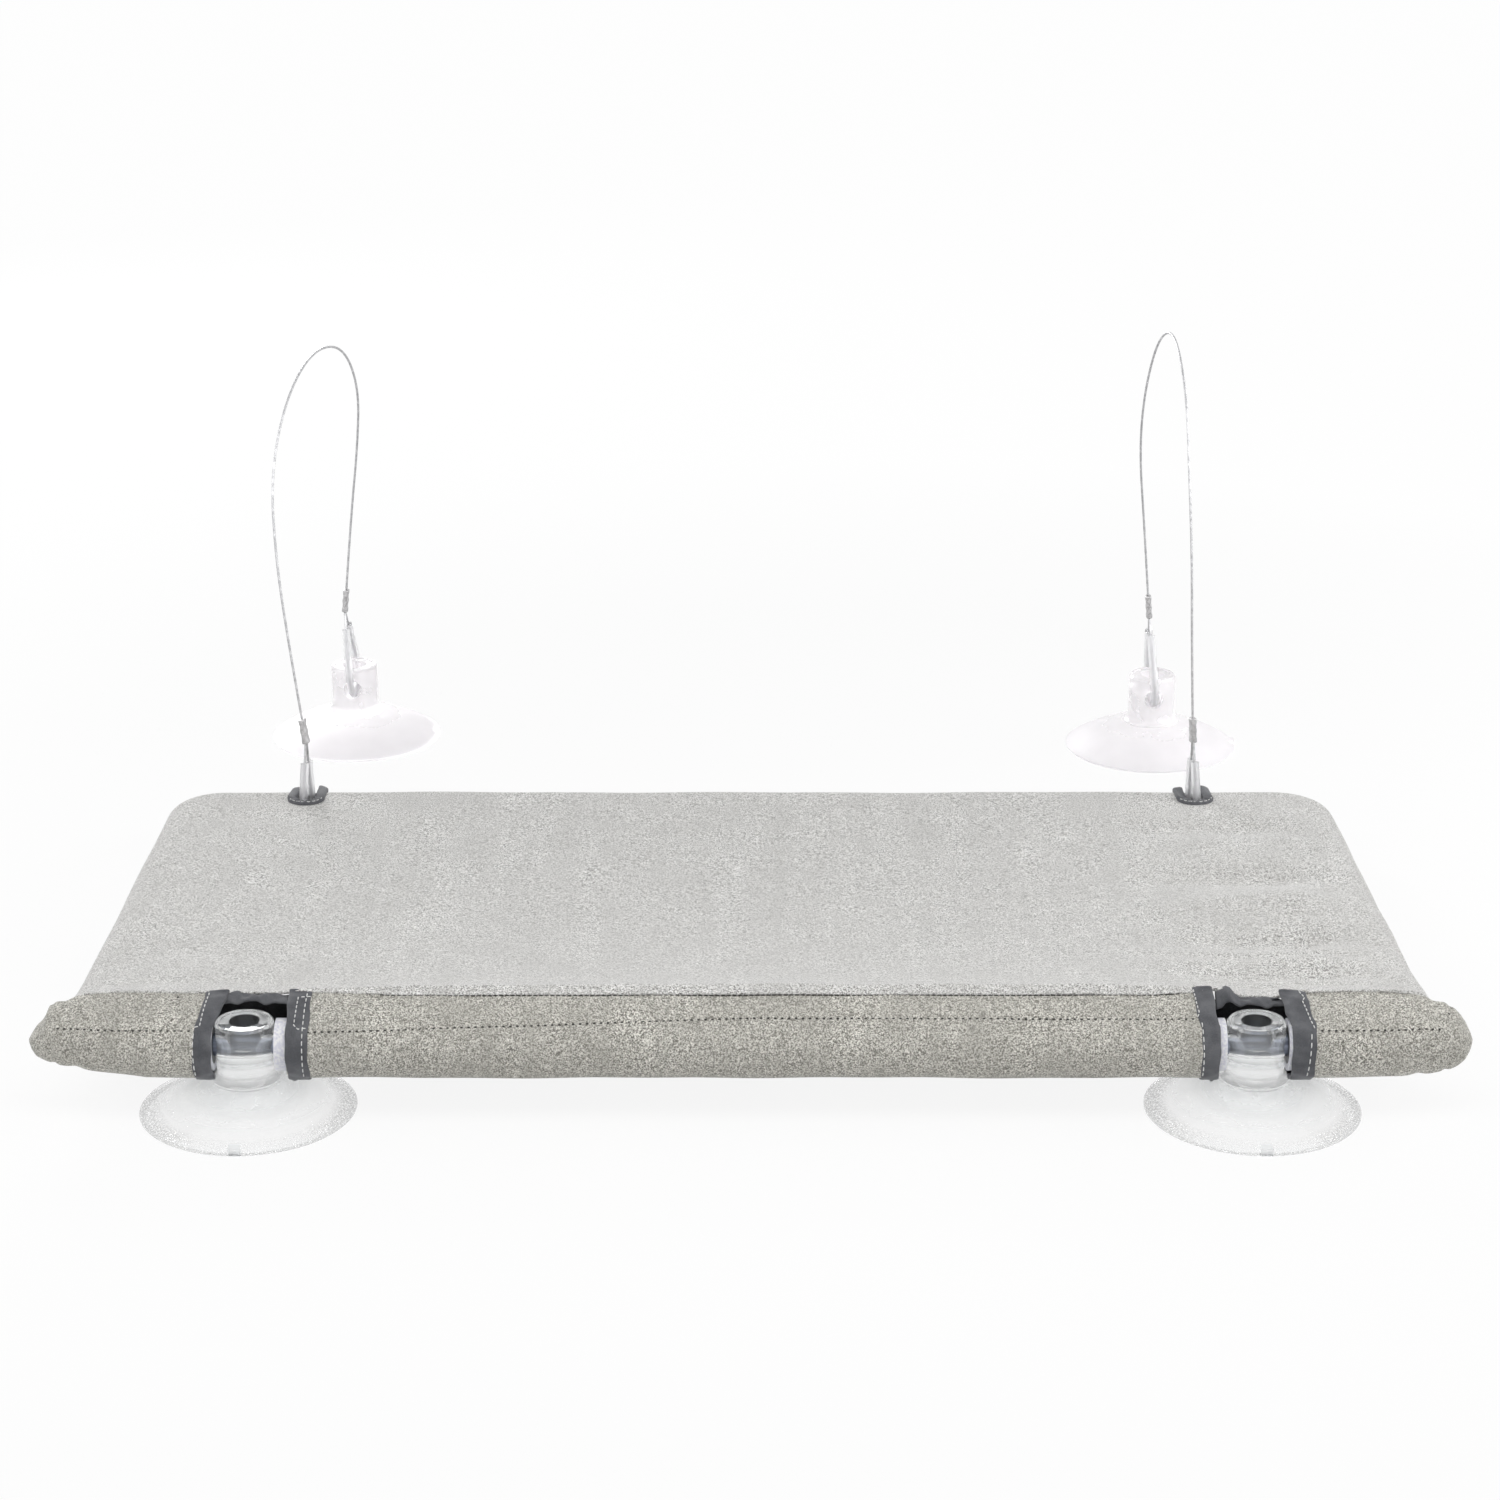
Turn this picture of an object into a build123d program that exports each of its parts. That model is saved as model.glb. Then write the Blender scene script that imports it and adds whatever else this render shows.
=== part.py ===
from math import acos, atan2, cos, degrees, pi, radians, sin, tan
import os

from build123d import *

os.makedirs("parts", exist_ok=True)

# A window mounted cat perch, laid on a table as photographed: the window side stands on its two
# lower suction cups, and the two upper cups stand behind it on their arched steel cables.
# Millimetres. X runs along the perch, Y from the window side outwards, Z up.

# Driving dimensions of the perch
perch_length = 584.0
rail_spacing = 295.5
sleeve_overhang = 24.0
lower_cup_inset = 87.9
cable_notch_inset = 77.2

# Suction cup, measured from its lip
cup_diameter = 88.0
cup_height = 39.4
lip_width = 2.6
lip_round = 0.6
rim_thickness = 1.1
dome_height = 14.3
dome_crown_rise = 1.3
cavity_height = 9.5
hub_diameter = 24.0
hub_foot_diameter = 28.0
hub_foot_flange = 0.8
hub_flange_height = 0.8
hub_flare_height = 4.0
hub_shoulder_height = 1.1
ring_diameter = 22.2
ring_width = 1.2
ring_groove_width = 0.6
ring_groove_depth = 0.7
ring_land_drop = 0.2
top_hole_diameter = 12.4
side_hole_height = 28.8
tab_width = 5.0
tab_length = 4.4
tab_height = 2.4

# Steel rods, and their running clearance in a cup's side hole
rod_diameter = 9.5
rod_end_margin = 3.0
running_clearance = 0.08

# White tube, corner elbows and rod bushes
tube_diameter = 21.3
tube_bore = 15.8
elbow_bend_radius = 15.0
elbow_bore = 10.0
spigot_length = 15.0
spigot_clearance = 0.1
bush_length = 12.0
bush_clearance = 0.05
hub_side_gap = 0.6
joint_gap = 0.1
cable_gap = 10.0

# Cloth cover
cloth_thickness = 1.2
cloth_clearance = 0.3
seam_gap = 0.1
crease_forward = 12.2
crease_rise = 15.2
crease_radius = 2.6
sleeve_taper_length = 30.0
panel_thickness = 2.4
panel_step = 1.2
panel_sag = 11.0
panel_edge_drop = 7.0
panel_seam_angle = 45.0

# Slots for the lower cups, and their bound edges
slot_outer_margin = 13.6
slot_inner_margin = 17.6
slot_reach = 17.2
strip_thickness = 0.9
tape_thickness = 0.8
tape_width = 9.5
tape_back_reach = 5.0

# Notches for the cable eyes, and their bound edges
notch_width = 10.0
notch_near_reach = 12.5
notch_far_reach = 10.5
notch_tape_width = 4.5
notch_tape_thickness = 1.0
notch_tape_lift = 0.3

# Cable, ferrules and eyes
cable_diameter = 1.2
ferrule_length = 12.0
ferrule_width = 4.8
ferrule_thickness = 3.2
ferrule_corner = 1.4
ferrule_edge_round = 0.4
strand_spacing = 1.4
eye_sleeve_diameter = 4.0
eye_sleeve_bore = 1.5
eye_sleeve_start = 9.0
crimp_gap = 0.1
rail_eye_clearance = 0.65
rail_eye_twist = 14.0
cup_eye_seat_gap = 0.3
cup_eye_knee_half_width = 17.5
cup_eye_knee_height = 8.0
cup_eye_foot_half_width = 13.0
cup_eye_knee_radius = 5.5
cup_eye_foot_radius = 7.0

# Where the upper cups stand: from the cable notch towards the middle, and out from the window rail
upper_cup_shift_left = 6.4
upper_cup_shift_right = 5.1
upper_cup_reach_left = 457.0
upper_cup_reach_right = 440.7

# A length past a face that cuts run on
overrun = 40.0

# The panel's sections, as shares of its half width, of its sag and of its drop at the side
panel_station_shares = (0.0, 0.35, 0.62, 0.8, 0.93, 1.0)
panel_sag_shares = (1.0, 0.9, 0.68, 0.43, 0.2, 0.08)
panel_drop_shares = (0.0, 0.0, 0.03, 0.12, 0.45, 1.0)

# The window sleeve's closed ends, as shares of the taper's length and of the full section
sleeve_station_shares = (0.0, 0.55, 0.87, 1.0)
sleeve_size_shares = (1.0, 0.93, 0.74, 0.4)

# Share of the shorter of two runs that each cable arc takes
arc_share = 0.45

# Routes of the two cables, from the ferrule at the outer rail to the ferrule at the upper cup:
# across from the cable notch, heights, and shares of the run out from the rail to the upper cup
cable_across = {
    "left": (-0.7, -6.1, -10.9, -12.5, -6.9, 2.5, 12.8, 17.1, 13.4, 7.8, 3.9),
    "right": (-2.3, -4.2, -5.3, -7.4, -8.2, -10.3, -14.1, -17.3, -17.3, -12.6, -9.0),
}
cable_heights = {
    "left": (64.4, 103.5, 143.6, 182.1, 212.6, 228.1, 222.2, 194.4, 159.3, 119.4, 80.3),
    "right": (65.0, 104.3, 144.2, 183.2, 216.2, 239.7, 230.5, 197.2, 161.8, 121.1, 82.0),
}
cable_run_shares = {
    "left": (0.0093, 0.0266, 0.0613, 0.1176, 0.2675, 0.4749, 0.6935, 0.8613, 0.9573, 0.9975, 1.0000),
    "right": (0.0103, 0.0200, 0.0482, 0.0971, 0.1956, 0.4490, 0.6756, 0.8533, 0.9456, 0.9952, 1.0007),
}

# Sizes and places worked out from the dimensions above
cup_radius = cup_diameter / 2
hub_radius = hub_diameter / 2
rod_radius = rod_diameter / 2
tube_radius = tube_diameter / 2
bush_radius = tube_bore / 2 - bush_clearance
spigot_radius = tube_bore / 2 - spigot_clearance
side_hole_radius = rod_radius + running_clearance
cover_bore_radius = tube_radius + cloth_clearance
cover_radius = cover_bore_radius + cloth_thickness
elbow_space_radius = cover_bore_radius + cloth_clearance
sleeve_half_length = perch_length / 2
side_rail_offset = sleeve_half_length - sleeve_overhang
lower_cup_offset = sleeve_half_length - lower_cup_inset
cable_notch_offset = sleeve_half_length - cable_notch_inset
rod_half_length = side_rail_offset - elbow_bend_radius - spigot_length - rod_end_margin
window_rail = Vector(0, -upper_cup_reach_left / 2, side_hole_height)
outer_rail = Vector(0, window_rail.Y + rail_spacing, cover_radius)
crease = Vector(0, window_rail.Y + crease_forward, window_rail.Z + crease_rise)
panel_seam = outer_rail + Vector(0, -cover_radius, 0).rotate(Axis.X, -panel_seam_angle)
slot_outer_x = lower_cup_offset + slot_outer_margin
slot_inner_x = lower_cup_offset - slot_inner_margin
frame_run = (outer_rail - window_rail).length
slope_direction = (outer_rail - window_rail).normalized()

SIDES = (("left", -1), ("right", 1))


def write(part, name):
    """Name a finished piece and write it as its own STEP file."""
    part.label = name
    export_step(part, f"parts/{name}.step")


def bar_along_x(x_start, x_end, centre, radius, bore=0.0):
    """A round bar or tube along X, through the given point's Y and Z."""
    with BuildPart() as bar:
        with BuildSketch(Plane.YZ.offset(x_start)):
            with Locations((centre.Y, centre.Z)):
                Circle(radius)
                if bore:
                    Circle(bore, mode=Mode.SUBTRACT)
        extrude(amount=x_end - x_start)
    return bar.part


def side_bar(x, start, end, radius, bore):
    """A tube along one side of the frame, between two distances from the window rail."""
    base = Vector(x, window_rail.Y, window_rail.Z) + slope_direction * start
    with BuildPart() as bar:
        with BuildSketch(Plane(origin=base, x_dir=(1, 0, 0), z_dir=slope_direction)):
            Circle(radius)
            Circle(bore, mode=Mode.SUBTRACT)
        extrude(amount=end - start)
    return bar.part


def block(x_start, x_end, y_start, y_end, z_start, z_end):
    """A plain block between two corners, to cut with."""
    with BuildPart() as body:
        with BuildSketch(Plane.XY.offset(z_start)):
            with Locations(((x_start + x_end) / 2, (y_start + y_end) / 2)):
                Rectangle(x_end - x_start, y_end - y_start)
        extrude(amount=z_end - z_start)
    return body.part


def corner_plane(rail, sign):
    """The frame's sloping plane at a corner: local X along the rail, local Y along the side."""
    x_dir = Vector(-sign, 0, 0)
    y_dir = slope_direction if rail == window_rail else slope_direction * -1
    corner = Vector(sign * side_rail_offset, rail.Y, rail.Z)
    return Plane(origin=corner, x_dir=x_dir, z_dir=x_dir.cross(y_dir))


def corner_sweep(rail, sign, radius, rail_arm=0.0, side_arm=0.0):
    """A round bar bent through a corner of the frame, with straight arms past the bend."""
    bend = elbow_bend_radius
    with BuildPart() as bar:
        with BuildLine(corner_plane(rail, sign)) as path:
            if rail_arm:
                Line((bend + rail_arm, 0), (bend, 0))
            CenterArc((bend, bend), bend, 270, -90)
            if side_arm:
                Line((0, bend), (0, bend + side_arm))
        wire = path.wire()
        with BuildSketch(Plane(origin=wire @ 0, z_dir=wire % 0)):
            Circle(radius)
        sweep()
    return bar.part


def sleeve_outline(x, growth, size=1.0):
    """The window sleeve's section: a band round the rail, drawn up to a crease behind it."""
    rise = (crease - window_rail) * size
    with BuildSketch(Plane.YZ.offset(x)) as outline:
        with BuildLine():
            CenterArc((window_rail.Y, window_rail.Z), (cover_radius + growth) * size, 0, 360)
            fold = (window_rail.Y + rise.Y, window_rail.Z + rise.Z)
            CenterArc(fold, (crease_radius + growth) * size, 0, 360)
        make_hull()
    return outline.sketch


def sleeve_bar(x_start, x_end, growth):
    """The space inside the window sleeve's outline, grown all round, between two places."""
    outline = sleeve_outline(x_start, growth)
    with BuildPart() as bar:
        extrude(outline, amount=x_end - x_start)
    return bar.part


def sleeve_solid(growth):
    """The whole space inside the window sleeve's outline, grown all round, with its tapered ends."""
    straight = sleeve_half_length - sleeve_taper_length
    taper = sleeve_taper_length + growth
    tapers = []
    for _, sign in SIDES:
        places = [sign * (straight + station * taper) for station in sleeve_station_shares]
        tapers.append([sleeve_outline(x, growth, size) for x, size in zip(places, sleeve_size_shares)])
    with BuildPart() as solid:
        add(sleeve_bar(-straight, straight, growth))
        for sections in tapers:
            loft(sections, ruled=True)
    return solid.part


def notch_prism(sign, growth):
    """The upright prism over a cable notch's outline, grown all round."""
    length = notch_near_reach + notch_far_reach
    middle = outer_rail.Y + (notch_far_reach - notch_near_reach) / 2
    with BuildPart() as prism:
        with BuildSketch(Plane.XY.offset(outer_rail.Z)):
            with Locations((sign * cable_notch_offset, middle)):
                SlotOverall(length + 2 * growth, notch_width + 2 * growth, rotation=90)
        extrude(amount=overrun)
    return prism.part


def notch_cover(x_start, x_end, growth):
    """The space under a notch's binding: over the outer sleeve and on to the panel."""
    front = outer_rail.Y - notch_near_reach - notch_tape_width
    with BuildPart() as bar:
        with BuildSketch(Plane.YZ.offset(x_start)):
            with BuildLine():
                CenterArc((outer_rail.Y, outer_rail.Z), cover_radius + growth, 0, 360)
                CenterArc((front, panel_seam.Z + notch_tape_lift), panel_thickness / 2 + growth, 0, 360)
            make_hull()
        extrude(amount=x_end - x_start)
    return bar.part


def panel_section(station, sag, drop):
    """The top panel's section at a share of its half width, with its sag and its drop there."""
    near = Vector(crease.Y, crease.Z + crease_radius - panel_step - drop * panel_edge_drop)
    far_z = panel_seam.Z + panel_thickness / 2 - drop * panel_edge_drop
    far = Vector(panel_seam.Y + panel_thickness, far_z)
    low = (near + far) / 2 - Vector(0, sag * panel_sag)
    down = Vector(0, -panel_thickness)
    with BuildSketch(Plane.YZ.offset(station * side_rail_offset)) as section:
        with BuildLine():
            ThreePointArc(near, low, far)
            Line(far, far + down)
            ThreePointArc(far + down, low + down, near + down)
            Line(near + down, near)
        make_face()
    return section.sketch


def cup(x, y, hole_direction, name):
    """A moulded clear suction cup standing on its lip, with a top hole and a side hole."""
    base = Plane(origin=(x, y, 0), x_dir=hole_direction, z_dir=(0, 0, 1))
    foot_radius = hub_foot_diameter / 2
    dome_edge = foot_radius + hub_foot_flange
    flange_top = dome_height + hub_flange_height
    flare_top = flange_top + hub_flare_height
    shoulder = cup_height - hub_shoulder_height
    ring_out = ring_diameter / 2
    ring_in = ring_out - ring_width
    land_out = ring_in - ring_groove_width
    groove = cup_height - ring_groove_depth
    land = cup_height - ring_land_drop
    lip_in = cup_radius - lip_round - lip_width
    dome_crown = ((cup_radius + dome_edge) / 2, (rim_thickness + dome_height) / 2 + dome_crown_rise)
    with BuildPart() as body:
        with BuildSketch(Plane(base.origin, x_dir=base.x_dir, z_dir=-base.y_dir)):
            with BuildLine():
                Polyline((0, cavity_height), (0, land), (land_out, land))
                Polyline((land_out, land), (land_out, groove), (ring_in, groove))
                Polyline((ring_in, groove), (ring_in, cup_height), (ring_out, cup_height))
                Polyline((ring_out, cup_height), (hub_radius, shoulder), (hub_radius, flare_top))
                TangentArc((hub_radius, flare_top), (foot_radius, flange_top), tangent=(0, -1))
                Polyline((foot_radius, flange_top), (dome_edge, flange_top), (dome_edge, dome_height))
                ThreePointArc((dome_edge, dome_height), dome_crown, (cup_radius, rim_thickness))
                Polyline((cup_radius, rim_thickness), (cup_radius, lip_round), (cup_radius - lip_round, 0))
                Line((cup_radius - lip_round, 0), (lip_in, 0))
                TangentArc((0, cavity_height), (lip_in, 0), tangent=(1, 0))
            make_face()
        revolve(axis=Axis(base.origin, base.z_dir))
        with BuildSketch(base.offset(rim_thickness)):
            with Locations((0, tab_length / 2 - cup_radius)):
                Rectangle(tab_width, tab_length)
        extrude(amount=tab_height)
        with BuildSketch(base.offset(side_hole_height)):
            Circle(top_hole_diameter / 2)
        extrude(amount=cup_height, mode=Mode.SUBTRACT)
        with BuildSketch(Plane(base.offset(side_hole_height).origin, z_dir=base.x_dir)):
            Circle(side_hole_radius)
        extrude(amount=cup_radius, both=True, mode=Mode.SUBTRACT)
    write(body.part, name)


def swept_tube(wire, radius, bore=0.0):
    """A round wire or tube along a path."""
    with BuildPart() as tube:
        with BuildSketch(Plane(origin=wire @ 0, z_dir=wire % 0)):
            Circle(radius)
            if bore:
                Circle(bore, mode=Mode.SUBTRACT)
        sweep(path=wire)
    return tube.part


def eye_plane(centre, foot, twist):
    """The plane of a wire eye: local Y points at the ferrule's foot, local X across the loop."""
    up = (foot - centre).normalized()
    normal = Vector(sin(radians(twist)), cos(radians(twist)), 0).cross(up).normalized()
    return Plane(origin=centre, x_dir=up.cross(normal), z_dir=normal)


def rail_eye_path(plane, reach, trim):
    """The eye round the outer rod: two straight legs tangent to an arc about the rod's axis."""
    radius = rod_radius + rail_eye_clearance + eye_sleeve_diameter / 2
    top = Vector(strand_spacing / 2, reach)
    angle = atan2(top.Y, top.X) - acos(radius / top.length)
    foot = Vector(radius * cos(angle), radius * sin(angle))
    start = top + (foot - top).normalized() * trim
    with BuildLine(plane) as path:
        Line((start.X, start.Y), (foot.X, foot.Y))
        CenterArc((0, 0), radius, degrees(angle), -180 - 2 * degrees(angle))
        Line((-foot.X, foot.Y), (-start.X, start.Y))
    return path.wire()


def cup_eye_path(plane, reach, trim):
    """The eye through an upper cup: along its side hole's floor, round the hole's mouths and up."""
    top = Vector(strand_spacing / 2, reach)
    knee = Vector(cup_eye_knee_half_width, cup_eye_knee_height)
    start = top + (knee - top).normalized() * trim
    seat = eye_sleeve_diameter / 2 + cup_eye_seat_gap - side_hole_radius
    half = [(start.X, start.Y), (knee.X, knee.Y), (cup_eye_foot_half_width, seat)]
    mirrored = [(-x, y) for x, y in reversed(half)]
    radii = [cup_eye_knee_radius, cup_eye_foot_radius, cup_eye_foot_radius, cup_eye_knee_radius]
    with BuildLine(plane) as path:
        FilletPolyline(*half, *mirrored, radius=radii)
    return path.wire()


def cable_end(end, before, centre, twist, eye_path, name):
    """A ferrule at a cable's end, and the wire eye and clear sleeve that it holds."""
    direction = (end - before).normalized()
    foot = end + direction * ferrule_length
    plane = eye_plane(centre, foot, twist)
    across = plane.x_dir - direction * plane.x_dir.dot(direction)
    with BuildPart() as ferrule:
        with BuildSketch(Plane(origin=end, x_dir=across.normalized(), z_dir=direction)):
            RectangleRounded(ferrule_width, ferrule_thickness, ferrule_corner)
        extrude(amount=ferrule_length)
        along = Axis(end, direction)
        rims = ferrule.faces().sort_by(along)[0].edges() + ferrule.faces().sort_by(along)[-1].edges()
        fillet(rims, ferrule_edge_round)
    write(ferrule.part, name.format("ferrule"))
    reach = (foot - centre).length - cable_diameter / 2
    wire = swept_tube(eye_path(plane, reach, 0), cable_diameter / 2)
    write(wire, name.format("eye_wire"))
    trimmed = eye_path(plane, reach, eye_sleeve_start)
    sleeve = swept_tube(trimmed, eye_sleeve_diameter / 2, eye_sleeve_bore / 2)
    write(sleeve, name.format("eye_sleeve"))


def cable(route, name):
    """A free cable: straight runs joined by tangent arcs as large as the runs allow."""
    runs = [after - before for before, after in zip(route, route[1:])]
    radii = []
    for before, after in zip(runs, runs[1:]):
        half_turn = radians(before.get_angle(after)) / 2
        radii.append(arc_share * min(before.length, after.length) / tan(half_turn))
    start = route[0] + runs[0].normalized() * crimp_gap
    end = route[-1] - runs[-1].normalized() * crimp_gap
    with BuildLine() as path:
        FilletPolyline(start, *route[1:-1], end, radius=radii)
    wire = path.wire()
    tube = swept_tube(wire, cable_diameter / 2)
    expected = wire.length * pi * (cable_diameter / 2) ** 2
    print(name, "length", round(wire.length, 1), "volume over expected", round(tube.volume / expected, 4))
    print(name, "arc radii", [round(radius, 1) for radius in radii])
    write(tube, name)


# Steel rods inside the two rails
write(bar_along_x(-rod_half_length, rod_half_length, window_rail, rod_radius), "window_rod")
write(bar_along_x(-rod_half_length, rod_half_length, outer_rail, rod_radius), "outer_rod")

# White tube on each rail in three lengths, with bushes that centre the rod beside each gap
tube_end = side_rail_offset - elbow_bend_radius - joint_gap
rails = (
    ("window", window_rail, lower_cup_offset, hub_radius + hub_side_gap),
    ("outer", outer_rail, cable_notch_offset, cable_gap / 2),
)
for rail_name, rail, gap_place, gap_half in rails:
    inner_end = gap_place - gap_half
    outer_start = gap_place + gap_half
    write(bar_along_x(-inner_end, inner_end, rail, tube_radius, tube_bore / 2), f"{rail_name}_tube_centre")
    write(bar_along_x(-tube_end, -outer_start, rail, tube_radius, tube_bore / 2), f"{rail_name}_tube_left")
    write(bar_along_x(outer_start, tube_end, rail, tube_radius, tube_bore / 2), f"{rail_name}_tube_right")
    with BuildPart() as bushes:
        for _, sign in SIDES:
            for near_end in (inner_end - bush_length, outer_start):
                low_x = min(sign * near_end, sign * (near_end + bush_length))
                add(bar_along_x(low_x, low_x + bush_length, rail, bush_radius, rod_radius + bush_clearance))
    write(bushes.part, f"{rail_name}_rod_bushes")

# Side tubes, and the four corner elbows whose spigots plug into the tubes
tube_start = elbow_bend_radius + joint_gap
for side, sign in SIDES:
    side_x = sign * side_rail_offset
    side_tube = side_bar(side_x, tube_start, frame_run - tube_start, tube_radius, tube_bore / 2)
    write(side_tube, f"side_tube_{side}")
    for rail_name, rail, _, _ in rails:
        with BuildPart() as elbow:
            add(corner_sweep(rail, sign, spigot_radius, spigot_length, spigot_length))
            add(corner_sweep(rail, sign, tube_radius))
            add(corner_sweep(rail, sign, elbow_bore / 2, overrun, overrun), mode=Mode.SUBTRACT)
        write(elbow.part, f"elbow_{rail_name}_{side}")

# Window sleeve: a closed cloth tube with two slots for the lower cups
with BuildPart() as window_sleeve:
    add(sleeve_solid(0))
    add(sleeve_solid(-cloth_thickness), mode=Mode.SUBTRACT)
    add(bar_along_x(slot_inner_x, slot_outer_x, window_rail, slot_reach), mode=Mode.SUBTRACT)
    add(bar_along_x(-slot_outer_x, -slot_inner_x, window_rail, slot_reach), mode=Mode.SUBTRACT)
    for _, sign in SIDES:
        add(corner_sweep(window_rail, sign, elbow_space_radius, 0, spigot_length), mode=Mode.SUBTRACT)
write(window_sleeve.part, "window_sleeve")

# Outer sleeve: a cloth tube round the outer rail, open at the two cable notches
outer_sleeve_end = side_rail_offset - elbow_bend_radius - seam_gap
with BuildPart() as outer_sleeve:
    add(bar_along_x(-outer_sleeve_end, outer_sleeve_end, outer_rail, cover_radius, cover_bore_radius))
    for _, sign in SIDES:
        add(notch_prism(sign, 0), mode=Mode.SUBTRACT)
write(outer_sleeve.part, "outer_sleeve")

# Side hems: cloth tubes along the side rails and round the outer corners
sleeve_envelope = sleeve_solid(seam_gap)
side_arm = frame_run - elbow_bend_radius
bore_arm = side_arm + overrun
for side, sign in SIDES:
    with BuildPart() as side_hem:
        add(corner_sweep(outer_rail, sign, cover_radius, 0, side_arm))
        add(corner_sweep(outer_rail, sign, cover_bore_radius, overrun, bore_arm), mode=Mode.SUBTRACT)
        add(corner_sweep(window_rail, sign, elbow_space_radius, 0, spigot_length), mode=Mode.SUBTRACT)
        add(sleeve_envelope, mode=Mode.SUBTRACT)
    write(side_hem.part, f"side_hem_{side}")

# Top panel: a sagging sheet between the crease, the hems and the outer sleeve
half_sections = list(zip(panel_station_shares, panel_sag_shares, panel_drop_shares))
mirrored_sections = [(-station, sag, drop) for station, sag, drop in reversed(half_sections[1:])]
panel_sections = [panel_section(*shares) for shares in mirrored_sections + half_sections]
rail_space = bar_along_x(-side_rail_offset, side_rail_offset, outer_rail, cover_radius + seam_gap)
with BuildPart() as top_panel:
    loft(panel_sections, ruled=True)
    add(sleeve_envelope, mode=Mode.SUBTRACT)
    add(rail_space, mode=Mode.SUBTRACT)
    for _, sign in SIDES:
        add(corner_sweep(outer_rail, sign, cover_radius + seam_gap, 0, side_arm), mode=Mode.SUBTRACT)
        add(notch_prism(sign, 0), mode=Mode.SUBTRACT)
write(top_panel.part, "top_panel")

# Bound edges of the slots: a tape at each side, and a folded strip on the crease between them
back_y = window_rail.Y + tape_back_reach
back_top = window_rail.Z + tape_back_reach
for side, sign in SIDES:
    tapes = (
        ("inner", slot_inner_x - tape_width, slot_inner_x),
        ("outer", slot_outer_x, slot_outer_x + tape_width),
    )
    for tape_name, near_x, far_x in tapes:
        low_x = min(sign * near_x, sign * far_x)
        high_x = low_x + tape_width
        behind = block(low_x, high_x, crease.Y, crease.Y + overrun, 0, crease.Z + overrun)
        with BuildPart() as tape:
            add(sleeve_bar(low_x, high_x, seam_gap + tape_thickness))
            add(sleeve_bar(low_x, high_x, seam_gap), mode=Mode.SUBTRACT)
            add(behind, mode=Mode.SUBTRACT)
            add(block(low_x, high_x, back_y, back_y + overrun, 0, back_top), mode=Mode.SUBTRACT)
        write(tape.part, f"slot_tape_{tape_name}_{side}")
    low_x = min(sign * slot_inner_x, sign * slot_outer_x) + seam_gap
    high_x = max(sign * slot_inner_x, sign * slot_outer_x) - seam_gap
    behind = block(low_x, high_x, crease.Y, crease.Y + overrun, 0, crease.Z + overrun)
    with BuildPart() as strip:
        add(sleeve_bar(low_x, high_x, seam_gap + strip_thickness))
        add(sleeve_bar(low_x, high_x, seam_gap), mode=Mode.SUBTRACT)
        add(behind, mode=Mode.SUBTRACT)
        add(bar_along_x(low_x, high_x, window_rail, slot_reach), mode=Mode.SUBTRACT)
    write(strip.part, f"slot_strip_{side}")

# Bound edges of the cable notches
for side, sign in SIDES:
    low_x = sign * cable_notch_offset - notch_width
    high_x = sign * cable_notch_offset + notch_width
    with BuildPart() as binding:
        add(notch_cover(low_x, high_x, seam_gap + notch_tape_thickness))
        add(notch_cover(low_x, high_x, seam_gap), mode=Mode.SUBTRACT)
        add(notch_prism(sign, notch_tape_width), mode=Mode.INTERSECT)
        add(notch_prism(sign, 0), mode=Mode.SUBTRACT)
        add(block(low_x, high_x, outer_rail.Y - overrun, panel_seam.Y, 0, panel_seam.Z), mode=Mode.SUBTRACT)
    write(binding.part, f"notch_binding_{side}")

# Suction cups: two on the window rod, and two at the cables' far ends
left_x = upper_cup_shift_left - cable_notch_offset
right_x = cable_notch_offset - upper_cup_shift_right
upper_cups = {
    "left": Vector(left_x, window_rail.Y + upper_cup_reach_left, side_hole_height),
    "right": Vector(right_x, window_rail.Y + upper_cup_reach_right, side_hole_height),
}
for side, sign in SIDES:
    cup(sign * lower_cup_offset, window_rail.Y, (1, 0, 0), f"lower_cup_{side}")
    cup(upper_cups[side].X, upper_cups[side].Y, (0, 1, 0), f"upper_cup_{side}")

# Cables, each with an eye round the outer rod and an eye through its upper cup
for side, sign in SIDES:
    rod_centre = Vector(sign * cable_notch_offset, outer_rail.Y, outer_rail.Z)
    run = upper_cups[side].Y - rod_centre.Y
    route = []
    for across, share, height in zip(cable_across[side], cable_run_shares[side], cable_heights[side]):
        route.append(Vector(rod_centre.X + across, rod_centre.Y + share * run, height))
    cable(route, f"cable_{side}")
    cable_end(route[0], route[1], rod_centre, -sign * rail_eye_twist, rail_eye_path, "rail_{}_" + side)
    cable_end(route[-1], route[-2], upper_cups[side], 0, cup_eye_path, "cup_{}_" + side)
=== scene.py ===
from math import pi, radians

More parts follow.
